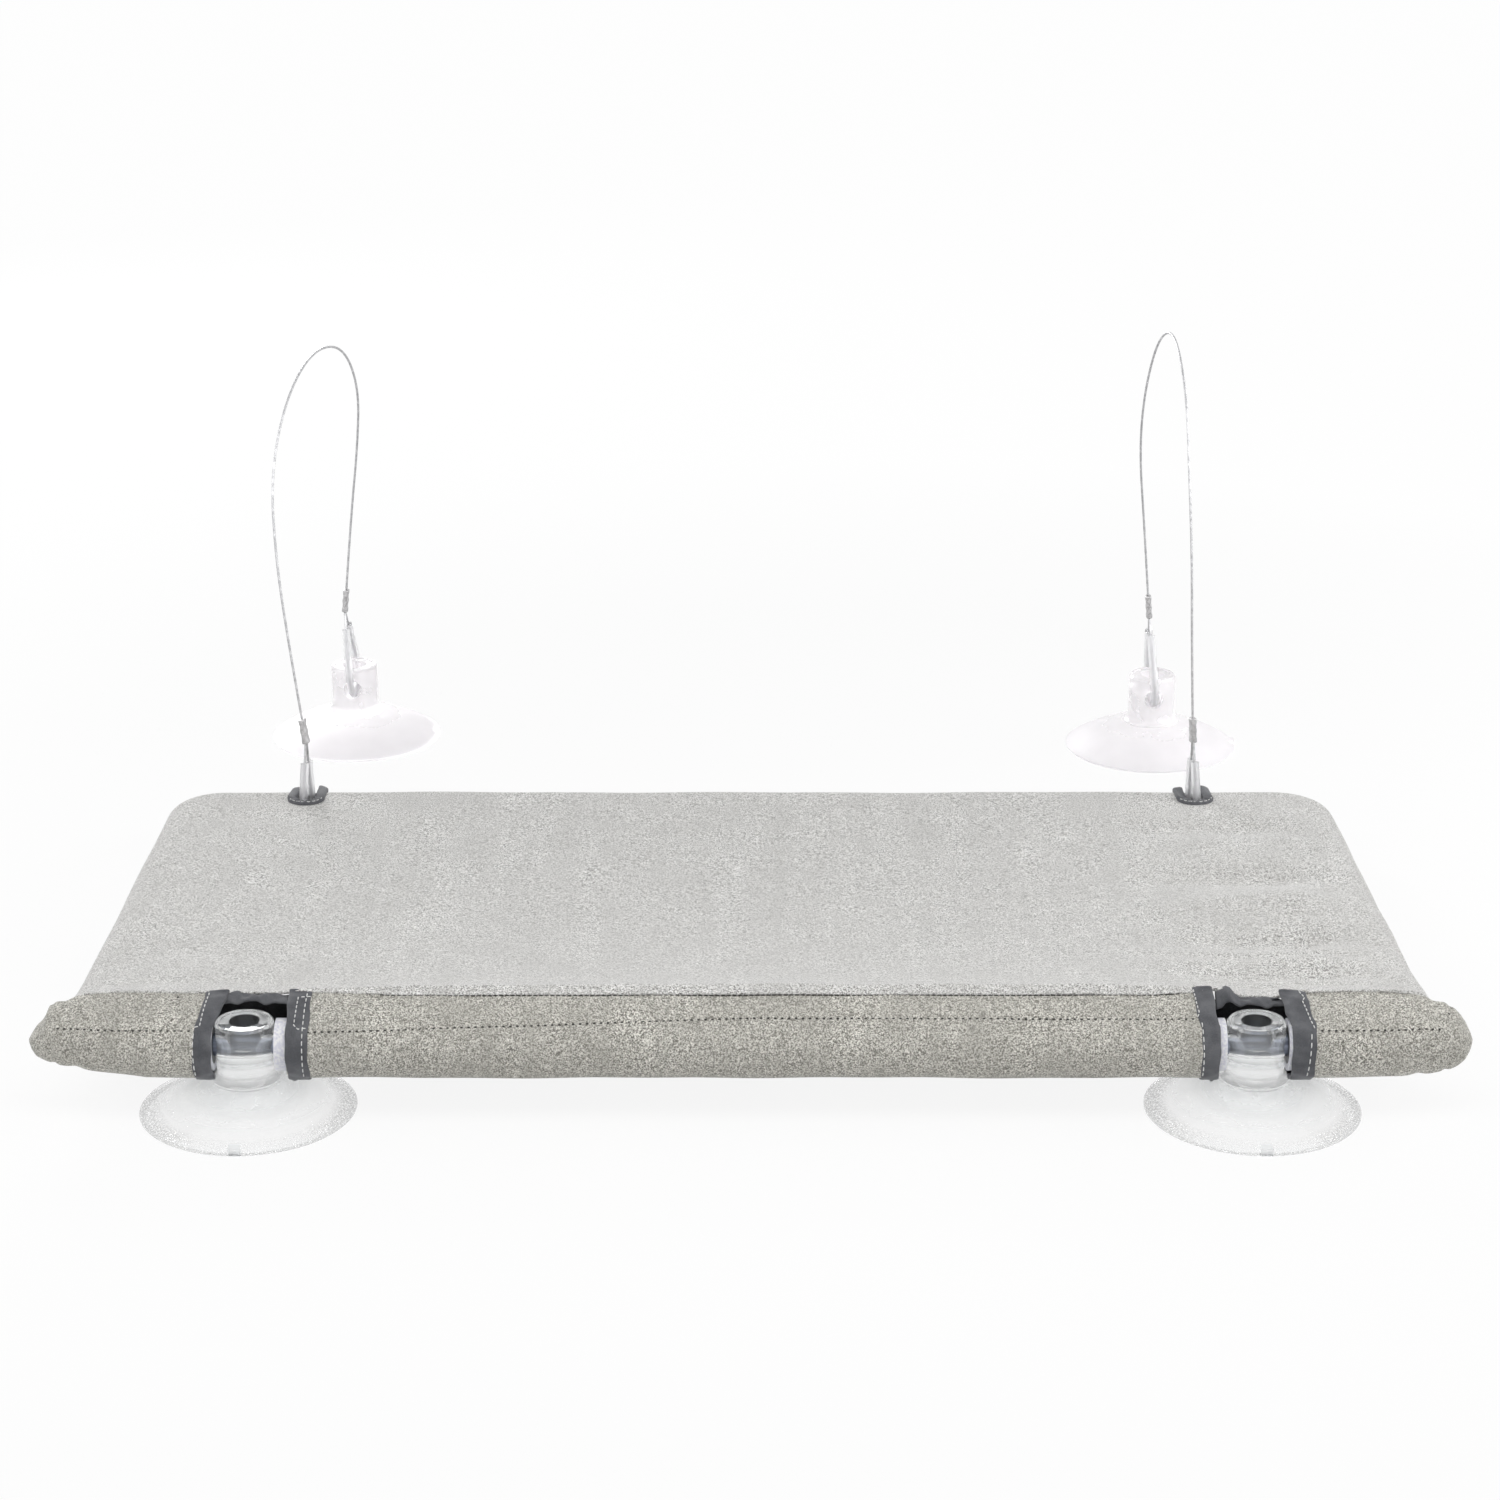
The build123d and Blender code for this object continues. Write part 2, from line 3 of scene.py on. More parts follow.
import bpy
import numpy as np
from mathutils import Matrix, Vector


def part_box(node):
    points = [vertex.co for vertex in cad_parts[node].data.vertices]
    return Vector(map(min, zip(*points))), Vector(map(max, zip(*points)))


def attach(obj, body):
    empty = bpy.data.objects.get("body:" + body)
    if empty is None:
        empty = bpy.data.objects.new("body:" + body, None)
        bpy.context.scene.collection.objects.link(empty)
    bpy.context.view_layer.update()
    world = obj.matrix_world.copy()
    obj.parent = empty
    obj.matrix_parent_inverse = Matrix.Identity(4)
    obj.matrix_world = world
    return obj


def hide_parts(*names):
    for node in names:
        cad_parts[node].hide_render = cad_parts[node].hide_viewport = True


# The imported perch, and its box before any dressing. Lengths are in metres.
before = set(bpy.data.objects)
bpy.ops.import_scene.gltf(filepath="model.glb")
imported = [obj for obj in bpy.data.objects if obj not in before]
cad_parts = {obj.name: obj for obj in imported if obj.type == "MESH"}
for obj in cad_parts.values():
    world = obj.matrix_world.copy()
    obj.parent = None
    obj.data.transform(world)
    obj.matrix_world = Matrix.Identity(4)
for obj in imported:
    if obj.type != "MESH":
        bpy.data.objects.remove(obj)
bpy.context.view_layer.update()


# The photographer's view: a long lens on the middle of the window side, looking a little down.
lens_length = 84.08
sensor_width = 36.0
camera_place = (-0.0002, -1.52135, 0.6184)
camera_pitch = 19.716

camera_data = bpy.data.cameras.new("photo_camera")
camera_data.lens = lens_length
camera_data.sensor_width = sensor_width
camera = bpy.data.objects.new("photo_camera", camera_data)
camera.location = camera_place
camera.rotation_euler = (radians(90 - camera_pitch), 0, 0)
bpy.context.scene.collection.objects.link(camera)
bpy.context.scene.camera = camera


# The two steel cables: thin stranded wire with no jacket, cut to length and crimped at both ends.
# Each springs up from the outer rail in an arch and comes down to its upper suction cup.
# Their strands are laid right handed, which shows as a fine rope pattern along the wire.
cable_diameter = 0.0012
strand_count = 6
strand_lay = 0.0085
strand_groove_share = 0.16
sides_per_strand = 6
route_steps = 40
cable_ring_spacing = 0.00045
cable_routes = {
    "left": [
        (-0.2155, 0.0685, 0.0644),
        (-0.2209, 0.0713, 0.1035),
        (-0.2257, 0.0769, 0.1436),
        (-0.2273, 0.0860, 0.1821),
        (-0.2217, 0.1102, 0.2126),
        (-0.2123, 0.1437, 0.2281),
        (-0.2020, 0.1790, 0.2222),
        (-0.1977, 0.2061, 0.1944),
        (-0.2014, 0.2216, 0.1593),
        (-0.2070, 0.2281, 0.1194),
        (-0.2109, 0.2285, 0.0803),
    ],
    "right": [
        (0.2125, 0.0685, 0.0650),
        (0.2106, 0.0699, 0.1043),
        (0.2095, 0.0740, 0.1442),
        (0.2074, 0.0811, 0.1832),
        (0.2066, 0.0954, 0.2162),
        (0.2045, 0.1322, 0.2397),
        (0.2007, 0.1651, 0.2305),
        (0.1975, 0.1909, 0.1972),
        (0.1975, 0.2043, 0.1618),
        (0.2022, 0.2115, 0.1211),
        (0.2058, 0.2123, 0.0820),
    ],
}


def skin(name, grids, around=False, looped=False, ends=False):
    """A mesh over grids of points, rows by columns: a quad between each four neighbours.
    Around joins the last column to the first, looped the last row to the first, and ends closes
    the first and last rows by a fan to their middles. Several grids make as many separate skins."""
    rows, columns = grids.shape[-3:-1]
    points = grids.reshape(-1, rows * columns, 3)
    row, column = (part.ravel() for part in np.mgrid[0:rows - (not looped), 0:columns - (not around)])
    below = (row + 1) % rows * columns
    beside = (column + 1) % columns
    quads = np.stack((row * columns + column, row * columns + beside, below + beside, below + column), -1)
    fans = np.empty((0, 3), int)
    if ends:
        ring = np.arange(columns)
        turned = np.roll(ring, -1)
        last = (rows - 1) * columns
        middle = np.full(columns, rows * columns)
        start_fan = np.stack((middle, turned, ring), -1)
        fans = np.concatenate((start_fan, np.stack((middle + 1, last + ring, last + turned), -1)))
        middles = [part.mean(1, keepdims=True) for part in (points[:, :columns], points[:, -columns:])]
        points = np.concatenate((points, *middles), 1)
    first = np.arange(len(points))[:, None, None] * points.shape[1]
    faces = (first + quads).reshape(-1, 4).tolist() + (first + fans).reshape(-1, 3).tolist()
    mesh = bpy.data.meshes.new(name)
    mesh.from_pydata(points.reshape(-1, 3).tolist(), [], faces)
    mesh.polygons.foreach_set("use_smooth", [True] * len(mesh.polygons))
    mesh.update()
    piece = bpy.data.objects.new(name, mesh)
    bpy.context.scene.collection.objects.link(piece)
    return piece


def dress(piece, material, body, slot, *nodes):
    """Gives a piece its material and the body it rides, and puts it in its nodes' place. The slot is not
    used.
    """
    piece.data.materials.append(material)
    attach(piece, body)
    if nodes:
        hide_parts(*nodes)


def unit(vectors):
    """Each vector divided by its length."""
    return vectors / np.linalg.norm(vectors, axis=-1, keepdims=True)


def spline_points(name, route, steps):
    """The line of one open NURBS spline through a route's points as control points."""
    curve = bpy.data.curves.new(name, "CURVE")
    curve.dimensions = "3D"
    curve.resolution_u = steps
    spline = curve.splines.new("NURBS")
    spline.points.add(len(route) - 1)
    spline.points.foreach_set("co", np.column_stack((route, np.ones(len(route)))).ravel())
    spline.order_u = 3
    spline.use_endpoint_u = True
    line = bpy.data.objects.new(name, curve)
    mesh = bpy.data.meshes.new_from_object(line)
    points = np.empty(len(mesh.vertices) * 3)
    mesh.vertices.foreach_get("co", points)
    bpy.data.objects.remove(line)
    bpy.data.meshes.remove(mesh)
    return points.reshape(-1, 3)


def at_even_steps(points, step):
    """The points of a line again, a step apart along it, and how far along each one lies."""
    runs = np.linalg.norm(np.diff(points, axis=0), axis=1)
    along = np.concatenate(((0,), np.cumsum(runs)))
    places = np.linspace(0, along[-1], int(along[-1] / step) + 2)
    return np.column_stack([np.interp(places, along, axis) for axis in points.T]), places


def stranded(name, points, places, across, diameter):
    """A wire along points: its radius dips between strands, and the strands turn once in each lay.
    Radius is half the diameter less a groove share of it times one minus the strand's own arch."""
    tangent = unit(np.gradient(points, axis=0))
    first = unit(np.cross(tangent, across))
    second = np.cross(tangent, first)
    turn = np.linspace(0, 2 * pi, strand_count * sides_per_strand, endpoint=False)
    arch = np.abs(np.cos((turn[None, :] - 2 * pi * places[:, None] / strand_lay) * strand_count / 2))
    radius = diameter / 2 * (1 - strand_groove_share * (1 - arch))
    ring = first[:, None] * np.cos(turn)[None, :, None] + second[:, None] * np.sin(turn)[None, :, None]
    return skin(name, points[:, None] + ring * radius[..., None], around=True, ends=True)


class Shade:
    """One socket of a material's nodes. Arithmetic on it adds Math nodes, and node() adds any other."""

    def __init__(self, tree, link):
        self.tree = tree
        self.link = link

    def node(self, kind, settings, inputs, output=0):
        """Adds a node, makes its settings, then sets or links its sockets, and gives one output."""
        made = self.tree.nodes.new("ShaderNode" + kind)
        for name, value in settings.items():
            if name == "stops":
                ramp = made.color_ramp
                while len(ramp.elements) < len(value):
                    ramp.elements.new(1)
                for element, (place, colour) in zip(ramp.elements, value):
                    element.position = place
                    element.color = (*colour, 1)
            else:
                setattr(made, name, value)
        for name, value in inputs.items():
            if isinstance(value, Shade):
                self.tree.links.new(value.link, made.inputs[name])
            else:
                made.inputs[name].default_value = value
        return Shade(self.tree, made.outputs[output])

    def maths(self, operation, first, second):
        """One Math node on two values."""
        return self.node("Math", {"operation": operation}, {0: first, 1: second})

    def __add__(self, other):
        return self.maths("ADD", self, other)

    def __sub__(self, other):
        return self.maths("SUBTRACT", self, other)

    def __rsub__(self, other):
        return self.maths("SUBTRACT", other, self)

    def __mul__(self, other):
        return self.maths("MULTIPLY", self, other)

    def __pow__(self, other):
        return self.maths("POWER", self, other)

    __radd__ = __add__
    __rmul__ = __mul__

    def spots(self, scale, detail=2.0, roughness=0.5):
        """Noise of a scale on the material's own place."""
        inputs = {"Vector": self, "Scale": scale, "Detail": detail, "Roughness": roughness}
        return self.node("TexNoise", {}, inputs)

    def between(self, low, high):
        """This value stretched from low..high to 0..1, and held there."""
        return self.node("MapRange", {}, {"Value": self, "From Min": low, "From Max": high})

    def ramp(self, *stops):
        """A colour from this value, by stops of place and colour."""
        return self.node("ValToRGB", {"stops": stops}, {"Fac": self})

    def mix(self, factor, colour):
        """This colour going over to a plain one by a factor. Sockets 6 and 7 take a Mix node's colours."""
        sockets = {"Factor": factor, 6: self, 7: (*colour, 1)}
        return self.node("Mix", {"data_type": "RGBA"}, sockets, output=2)

    def coordinates(self):
        """The three numbers of this place."""
        parted = self.node("SeparateXYZ", {}, {"Vector": self}).link.node
        return [Shade(self.tree, socket) for socket in parted.outputs]


def surface_of(name, constants):
    """A new material with one Principled shader, whose constants are set on its own sockets.
    Gives the material, its shader node and its Object coordinates."""
    material = bpy.data.materials.new(name)
    material.use_nodes = True
    shader = material.node_tree.nodes["Principled BSDF"]
    for socket, value in constants.items():
        shader.inputs[socket].default_value = value
    place = material.node_tree.nodes.new("ShaderNodeTexCoord").outputs["Object"]
    return material, shader, Shade(material.node_tree, place)


def feed(shader, links):
    """Links each value to the shader's socket of that name."""
    for name, value in links.items():
        value.tree.links.new(value.link, shader.inputs[name])


def bump(height, strength, distance):
    """A surface normal from a height."""
    return height.node("Bump", {}, {"Height": height, "Strength": strength, "Distance": distance})


steel, steel_shader, place = surface_of("steel_wire", {"Metallic": 1.0, "Roughness": 0.45})
wear = place.spots(420.0, 3.0).between(0.35, 0.7)
feed(steel_shader, {
    "Base Color": wear.ramp((0.0, (0.4, 0.4, 0.41)), (1.0, (0.6, 0.6, 0.61))),
    "Roughness": wear * -0.1 + 0.5,
})

cables = {}
for side, route in cable_routes.items():
    line, places = at_even_steps(spline_points(f"route_{side}", route, route_steps), cable_ring_spacing)
    cable = stranded(f"steel_cable_{side}", line, places, (1.0, 0.0, 0.0), cable_diameter)
    dress(cable, steel, f"cable_{side}", "cable_steel", f"cable_{side}")
    cables[side] = (cable, line)


# Ferrules: short aluminium sleeves pressed flat over two thicknesses of cable, one at each end.
# The press leaves two broad dents across the flat faces, and rounded bright edges.
ferrule_length = 0.012
ferrule_width = 0.0048
ferrule_thickness = 0.0032
ferrule_roundness = 3.2
crimp_places = (0.3, 0.7)
crimp_reach = 0.12
crimp_depth_share = 0.16
crimp_spread_share = 0.032
end_width_share = 0.86
end_thickness_share = 0.8
end_squareness = 24
end_softness = 0.4
ferrule_rings = 61
ferrule_sides = 48

crimped, crimped_shader, place = surface_of("pressed_aluminium", {"Metallic": 0.85, "Roughness": 0.42})
scuffs = place.spots(900.0, 3.0).between(0.3, 0.75)
feed(crimped_shader, {
    "Base Color": scuffs.ramp((0.0, (0.36, 0.355, 0.36)), (1.0, (0.6, 0.595, 0.6))),
    "Roughness": scuffs * 0.2 + 0.35,
    "Normal": bump(scuffs, 0.25, 0.0001),
})


def rounded(wave, power):
    """A sine or cosine raised to a power with its sign kept, which makes a circle a rounded oblong."""
    return np.sign(wave) * np.abs(wave) ** power


def ferrule(name, start, direction, across):
    """A rounded rectangle carried along the cable's end: width and thickness follow a superellipse,
    both ends are drawn in, and each crimp thins the sleeve and spreads it a little."""
    share = np.linspace(0, 1, ferrule_rings)
    turn = np.linspace(0, 2 * pi, ferrule_sides, endpoint=False)
    draw_in = (1 - np.abs(2 * share - 1) ** end_squareness) ** end_softness
    dent = sum(np.exp(-(((share - middle) / crimp_reach) ** 4)) for middle in crimp_places)
    width_share = end_width_share + (1 - end_width_share) * draw_in
    thickness_share = end_thickness_share + (1 - end_thickness_share) * draw_in
    wide = ferrule_width / 2 * width_share * (1 + crimp_spread_share * dent)
    thick = ferrule_thickness / 2 * thickness_share * (1 - crimp_depth_share * dent)
    flat_x = rounded(np.cos(turn), 2 / ferrule_roundness)
    flat_y = rounded(np.sin(turn), 2 / ferrule_roundness)
    up = np.cross(direction, across)
    grid = (start + share[:, None] * ferrule_length * direction)[:, None]
    grid = grid + (wide[:, None] * flat_x)[..., None] * across + (thick[:, None] * flat_y)[..., None] * up
    return skin(name, grid, around=True, ends=True)


side_hole_height = 0.0288
rail_eye_twist = 14.0
rail_middle = {end: sum(map(np.array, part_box(f"{end}_rod"))) / 2 for end in ("window", "outer")}
for side, (cable, line) in cables.items():
    sign = -1 if side == "left" else 1
    hub = sum(map(np.array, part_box(f"upper_cup_{side}"))) / 2
    eye_places = {
        "rail": (line[0], line[0] - line[1], -sign * radians(rail_eye_twist)),
        "cup": (line[-1], line[-1] - line[-2], 0.0),
    }
    notch_low, notch_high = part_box(f"notch_binding_{side}")
    centres = {
        "rail": np.array(((notch_low.x + notch_high.x) / 2, *rail_middle["outer"][1:])),
        "cup": np.array((hub[0], hub[1], side_hole_height)),
    }
    pieces = []
    for end, (start, last_run, twist) in eye_places.items():
        direction = unit(last_run)
        up = unit(start + direction * ferrule_length - centres[end])
        normal = unit(np.cross((np.sin(twist), np.cos(twist), 0.0), up))
        across = np.cross(up, normal)
        across = unit(across - direction * across.dot(direction))
        piece = ferrule(f"{end}_ferrule_{side}_crimped", start, direction, across)
        dress(piece, crimped, f"cable_{side}", "ferrule_metal", f"{end}_ferrule_{side}")
        eye = [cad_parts[f"{end}_eye_{part}_{side}"] for part in ("wire", "sleeve")]
        pieces += [piece, *eye]


# Wire eyes and their clear sleeves: the cable's end turned back on itself through a soft clear tube,
# which keeps the wire off the rod and off the cup. They are the construction's own solids.
clear_tube, clear_tube_shader, place = surface_of(
    "clear_soft_tube", {"Transmission Weight": 0.75, "IOR": 1.3, "Specular IOR Level": 0.4}
)
haze = place.spots(260.0, 3.0).between(0.3, 0.75)
feed(clear_tube_shader, {
    "Base Color": haze.ramp((0.0, (0.93, 0.93, 0.94)), (1.0, (0.98, 0.98, 0.99))),
    "Roughness": haze * 0.15 + 0.3,
})
for side in cables:
    for end in ("rail", "cup"):
        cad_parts[f"{end}_eye_wire_{side}"].material_slots[0].material = steel
        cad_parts[f"{end}_eye_sleeve_{side}"].material_slots[0].material = clear_tube


# The hidden frame: drawn steel rods in white pipe, with moulded corner elbows and black bushes.
# The pipe's cut ends show beside the lower cups, matt white with faint cool flecks.
rod_steel, rod_shader, place = surface_of("drawn_rod_steel", {"Metallic": 1.0})
drawn = place.node("Mapping", {}, {"Vector": place, "Scale": (20.0, 900.0, 900.0)}).spots(1.0, 3.0)
feed(rod_shader, {
    "Base Color": drawn.ramp((0.3, (0.09, 0.1, 0.13)), (0.7, (0.2, 0.22, 0.27))),
    "Roughness": drawn * 0.3 + 0.2,
})
white_pipe, pipe_shader, place = surface_of("white_pipe", {"Roughness": 0.55, "Specular IOR Level": 0.35})
flecks = place.spots(900.0, 3.0).between(0.42, 0.62)
feed(pipe_shader, {
    "Base Color": flecks.ramp((0.0, (0.66, 0.66, 0.74)), (1.0, (0.86, 0.86, 0.87))),
    "Roughness": flecks * 0.15 + 0.45,
    "Normal": bump(flecks, 0.3, 0.0002),
})
moulded, moulded_shader, place = surface_of("white_moulded_fitting", {"Roughness": 0.4})
orange_peel = place.spots(500.0, 2.0)
feed(moulded_shader, {
    "Base Color": orange_peel.ramp((0.3, (0.74, 0.74, 0.73)), (0.7, (0.82, 0.82, 0.81))),
    "Normal": bump(orange_peel, 0.2, 0.0002),
})
black_bush, bush_shader, place = surface_of("black_moulded_bush", {"Roughness": 0.45})
grain = place.spots(700.0, 2.0)
feed(bush_shader, {
    "Base Color": grain.ramp((0.3, (0.012, 0.012, 0.014)), (0.7, (0.03, 0.03, 0.034))),
    "Normal": bump(grain, 0.2, 0.0001),
})
for node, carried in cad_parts.items():
    if node.endswith("_rod"):
        carried.material_slots[0].material = rod_steel
    elif "_tube_" in node:
        carried.material_slots[0].material = white_pipe
    elif node.startswith("elbow_"):
        carried.material_slots[0].material = moulded
    elif node.endswith("_bushes"):
        carried.material_slots[0].material = black_bush


# Felt: heathered wool blend, pale and dark fibres at random, brushed on the face so that it shades
# softly. The band round the window rail is a darker and less brushed cut of it than the lying surface.
def felt(name, dark, tint, light, slub, brushed):
    """Fine noise for the single fibres, a middle one for tufts, a broad one for cloudiness, and
    one drawn out along the weave, by the slub scale of each axis, for its faint streaks. These two
    darken the felt as its shadow, partly as uneven felt and partly as soft painted shade."""
    material, shader, place = surface_of(name, {
        "Specular IOR Level": 0.12, "Sheen Weight": brushed, "Sheen Roughness": 0.4,
    })
    fibres = place.spots(1450.0, 3.0, 0.8)
    tufts = place.spots(520.0, 3.0, 0.6)
    clouds = place.spots(42.0, 4.0, 0.6)
    streaks = place.node("Mapping", {}, {"Vector": place, "Scale": slub}).spots(1.0, 4.0, 0.65)
    heather = (fibres * 0.85 + tufts * 0.15).between(0.42, 0.58)
    colour = heather.ramp((0.0, dark), (0.5, tint), (1.0, light))
    shadow = (clouds * 0.5 + streaks * 0.5).between(0.38, 0.64) * 0.55
    feed(shader, {
        "Base Color": colour.mix(shadow, tuple(channel * 0.74 for channel in tint)),
        "Roughness": fibres * 0.2 + 0.8,
        "Normal": bump(fibres * 0.6 + tufts * 0.5, 0.8, 0.0007),
    })
    return material


band_felt = felt(
    "band_felt",
    dark=(0.13, 0.123, 0.105),
    tint=(0.478, 0.465, 0.42),
    light=(0.93, 0.91, 0.85),
    slub=(110.0, 9.0, 9.0),
    brushed=0.3,
)
panel_felt = felt(
    "panel_felt",
    dark=(0.12, 0.115, 0.105),
    tint=(0.7, 0.69, 0.668),
    light=(0.99, 0.985, 0.97),
    slub=(110.0, 7.0, 7.0),
    brushed=0.55,
)
# Painted shade: a near black cloth for the inside of the window sleeve and the curtains behind the cups,
# where only shade is seen.
painted_shade, painted_shade_shader, place = surface_of("painted_shade", {"Specular IOR Level": 0.1})
shade_speckle = place.spots(900.0, 2.0)
feed(painted_shade_shader, {
    "Base Color": shade_speckle.ramp((0.3, (0.006, 0.006, 0.007)), (0.7, (0.018, 0.018, 0.02))),
    "Roughness": shade_speckle * 0.2 + 0.75,
})


# The window sleeve: a band of felt sewn into a tube round the window rail and drawn up to a crease
# behind it, where the lying surface begins. It is cut open at the two slots, its ends are folded in
# and sewn shut, and a line of dark stitches holds a seam along its upper face.
cover_radius = 0.01215
crease_forward = 0.0122
crease_radius = 0.0022
cloth_thickness = 0.0012
sleeve_half_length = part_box("window_sleeve")[1].x
slot_inner_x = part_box("slot_tape_inner_right")[1].x
slot_outer_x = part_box("slot_tape_outer_right")[0].x
rail_y, rail_z = rail_middle["window"][1:]

crease_places = (-0.292, -0.240, -0.190, -0.140, 0.0, 0.160, 0.190, 0.225, 0.262, 0.292)
crease_heights = (0.0452, 0.0462, 0.0468, 0.0486, 0.0492, 0.0490, 0.0480, 0.0466, 0.0462, 0.0450)
crease_wander = 0.00025
crease_wander_rates = (83, 31)
band_spans = (0.0, 0.03, 0.2, 0.78, 0.96, 1.0)
band_bulge = 0.0008
band_slack = 0.0015
end_middle = 0.0300
end_inset = 0.003
end_reach = 0.048
end_profiles = {
    ("left", "top"): (
        (0.0, 0.0006, 0.0027, 0.0049, 0.0062, 0.0077, 0.0100, 0.0194, 0.048),
        (0.0, 0.08, 0.30, 0.42, 0.56, 0.80, 0.89, 0.98, 1.0),
    ),
    ("left", "bottom"): (
        (0.0, 0.0004, 0.0012, 0.0033, 0.0077, 0.0120, 0.0281, 0.0416, 0.048),
        (0.0, 0.12, 0.28, 0.46, 0.56, 0.63, 0.81, 0.93, 1.0),
    ),
    ("right", "top"): (
        (0.0, 0.0006, 0.0024, 0.0045, 0.0070, 0.0105, 0.0160, 0.0214, 0.048),
        (0.0, 0.12, 0.36, 0.55, 0.70, 0.82, 0.91, 0.97, 1.0),
    ),
    ("right", "bottom"): (
        (0.0, 0.0004, 0.0012, 0.0030, 0.0060, 0.0091, 0.0194, 0.0300, 0.048),
        (0.0, 0.16, 0.34, 0.56, 0.72, 0.80, 0.93, 0.98, 1.0),
    ),
}
fold_depth = 0.0009
fold_fade_start = 0.0024
fold_fade_reach = 0.012
fold_lines = (
    (-0.2818, 0.10, 0.0012), (-0.2746, 0.25, 0.0030), (0.2822, -0.12, 0.0012), (0.2735, -0.3, 0.0030),
)


def crease_height(x):
    """How high the crease stands: straight between the chosen places, plus a product of two sines."""
    fast, slow = crease_wander_rates
    wander = crease_wander * np.sin(x * fast) * np.sin(x * slow + 1)
    return np.interp(x, crease_places, crease_heights) + wander


def band(x, around, growth=0.0):
    """The window sleeve's face: around goes from the crease forwards, down round the rail, up its back.
    It is the loop drawn round two circles, the rail's and the crease's, given by the angle of its
    normal and by which circle it touches, both straight between six places of around. It bulges
    between the circles and hangs a little slack below. Near an end, its height above and below a
    middle line shrinks by that end's profiles, and its depth follows the root of one minus a cube."""
    rise = crease_height(x) - crease_radius - rail_z
    reach = np.hypot(crease_forward, rise)
    heading = np.arctan2(rise, crease_forward)
    lean = np.arccos((cover_radius - crease_radius) / reach)
    top = np.full_like(rise, pi / 2)
    turns = np.stack((top, heading + lean, heading + lean, 2 * pi + heading - lean, 2 * pi + heading - lean,
                      top + 2 * pi), -1)
    weights = np.stack([np.interp(around, band_spans, row) for row in np.eye(6)], -1)
    angle = (turns * weights).sum(-1)
    on_rail = weights[..., 2] + weights[..., 3]
    bulge = band_bulge * 4 * on_rail * (1 - on_rail)
    slack = band_slack * np.maximum(-np.sin(angle), 0) * on_rail
    radius = crease_radius + (cover_radius - crease_radius) * on_rail + growth + bulge + slack
    y = crease_forward * (1 - on_rail) + np.cos(angle) * radius
    z = rail_z + rise * (1 - on_rail) + np.sin(angle) * radius
    inset = np.clip(sleeve_half_length - np.abs(x), 0, None)
    size = {key: np.interp(inset, *profile) for key, profile in end_profiles.items()}
    left = np.where(z > end_middle, size["left", "top"], size["left", "bottom"])
    right = np.where(z > end_middle, size["right", "top"], size["right", "bottom"])
    depth = np.sqrt(1 - (1 - np.clip(inset / end_reach, 0, 1)) ** 3)
    z = end_middle + (z - end_middle) * np.where(x < 0, left, right)
    y = end_inset + (y - end_inset) * depth
    return np.stack((x + np.zeros_like(y), rail_y + y, z), -1)


def outward(surface, first, second, side):
    """Unit normals of a surface of two values, from a small step of each."""
    step = 0.0002
    along_first = surface(first + step, second) - surface(first - step, second)
    along_second = surface(first, second + step) - surface(first, second - step)
    return side * unit(np.cross(along_first, along_second) + 1e-12)


cloth_waves = (((61, 0, 90), 0.0, 1.0), ((137, -80, 0), 1.3, 0.7), ((29, 45, 0), 2.1, 0.5))
cloth_wave_height = 0.00016


def hung_cloth(points):
    """Soft unevenness of stretched cloth, under half a millimetre: three slow waves across each other,
    each the sine of its rates along the axes and its start, times its share."""
    waves = sum(share * np.sin(points @ np.array(rates) + start) for rates, start, share in cloth_waves)
    return waves * cloth_wave_height


stitch_line_places = (-0.292, -0.178, -0.110, 0.0, 0.189, 0.200, 0.292)
stitch_line_arounds = (0.245, 0.248, 0.208, 0.168, 0.175, 0.243, 0.240)
seam_depth = 0.0001
seam_reach = 0.012

sleeve_parts = {
    "window_sleeve_left": (-sleeve_half_length, -slot_outer_x, 90),
    "window_sleeve_middle": (-slot_inner_x, slot_inner_x, 220),
    "window_sleeve_right": (slot_outer_x, sleeve_half_length, 90),
}
sleeve_columns = 168
end_crowding = 2.2
for name, (start, end, count) in sleeve_parts.items():
    share = np.linspace(0, 1, count)
    if name != "window_sleeve_middle":
        share = 1 - (1 - share) ** end_crowding if end == sleeve_half_length else share ** end_crowding
    loop = np.linspace(0, 1, sleeve_columns, endpoint=False)
    x, around = np.meshgrid(start + (end - start) * share, loop, indexing="ij")
    face = band(x, around)
    from_seam = around - np.interp(x, stitch_line_places, stitch_line_arounds)
    seam = seam_depth * np.exp(-((from_seam / seam_reach) ** 2))
    folds = sum(np.exp(-(((x - place + slope * (face[..., 2] - end_middle)) / width) ** 2))
                for place, slope, width in fold_lines)
    inset = sleeve_half_length - np.abs(x)
    fold_fade = np.clip((inset - fold_fade_start) / fold_fade_reach, 0, 1)
    height = hung_cloth(face) - seam - folds * fold_depth * fold_fade
    face = face + outward(band, x, around, -1) * height[..., None]
    grid = np.concatenate((face, band(x, around, -cloth_thickness)[::-1]))
    piece = skin(name, grid, around=True, looped=True)
    dress(piece, band_felt, "perch", "band_cloth", "window_sleeve")
    # The inner faces, seen at the slots, take the near black painted shade.
    piece.data.materials.append(painted_shade)
    row = np.arange(2 * count)
    inner = (row >= count - 1) & (np.concatenate((inset[:, 0], inset[::-1, 0])) > end_reach)
    inner = np.repeat(inner, grid.shape[1]).astype(int)
    piece.data.polygons.foreach_set("material_index", inner)
    end - start


knots_per_point = 60
stitch_rings = 7
stitch_sides = 6
stitch_end_share = 0.98
last_stitch_share = 0.6


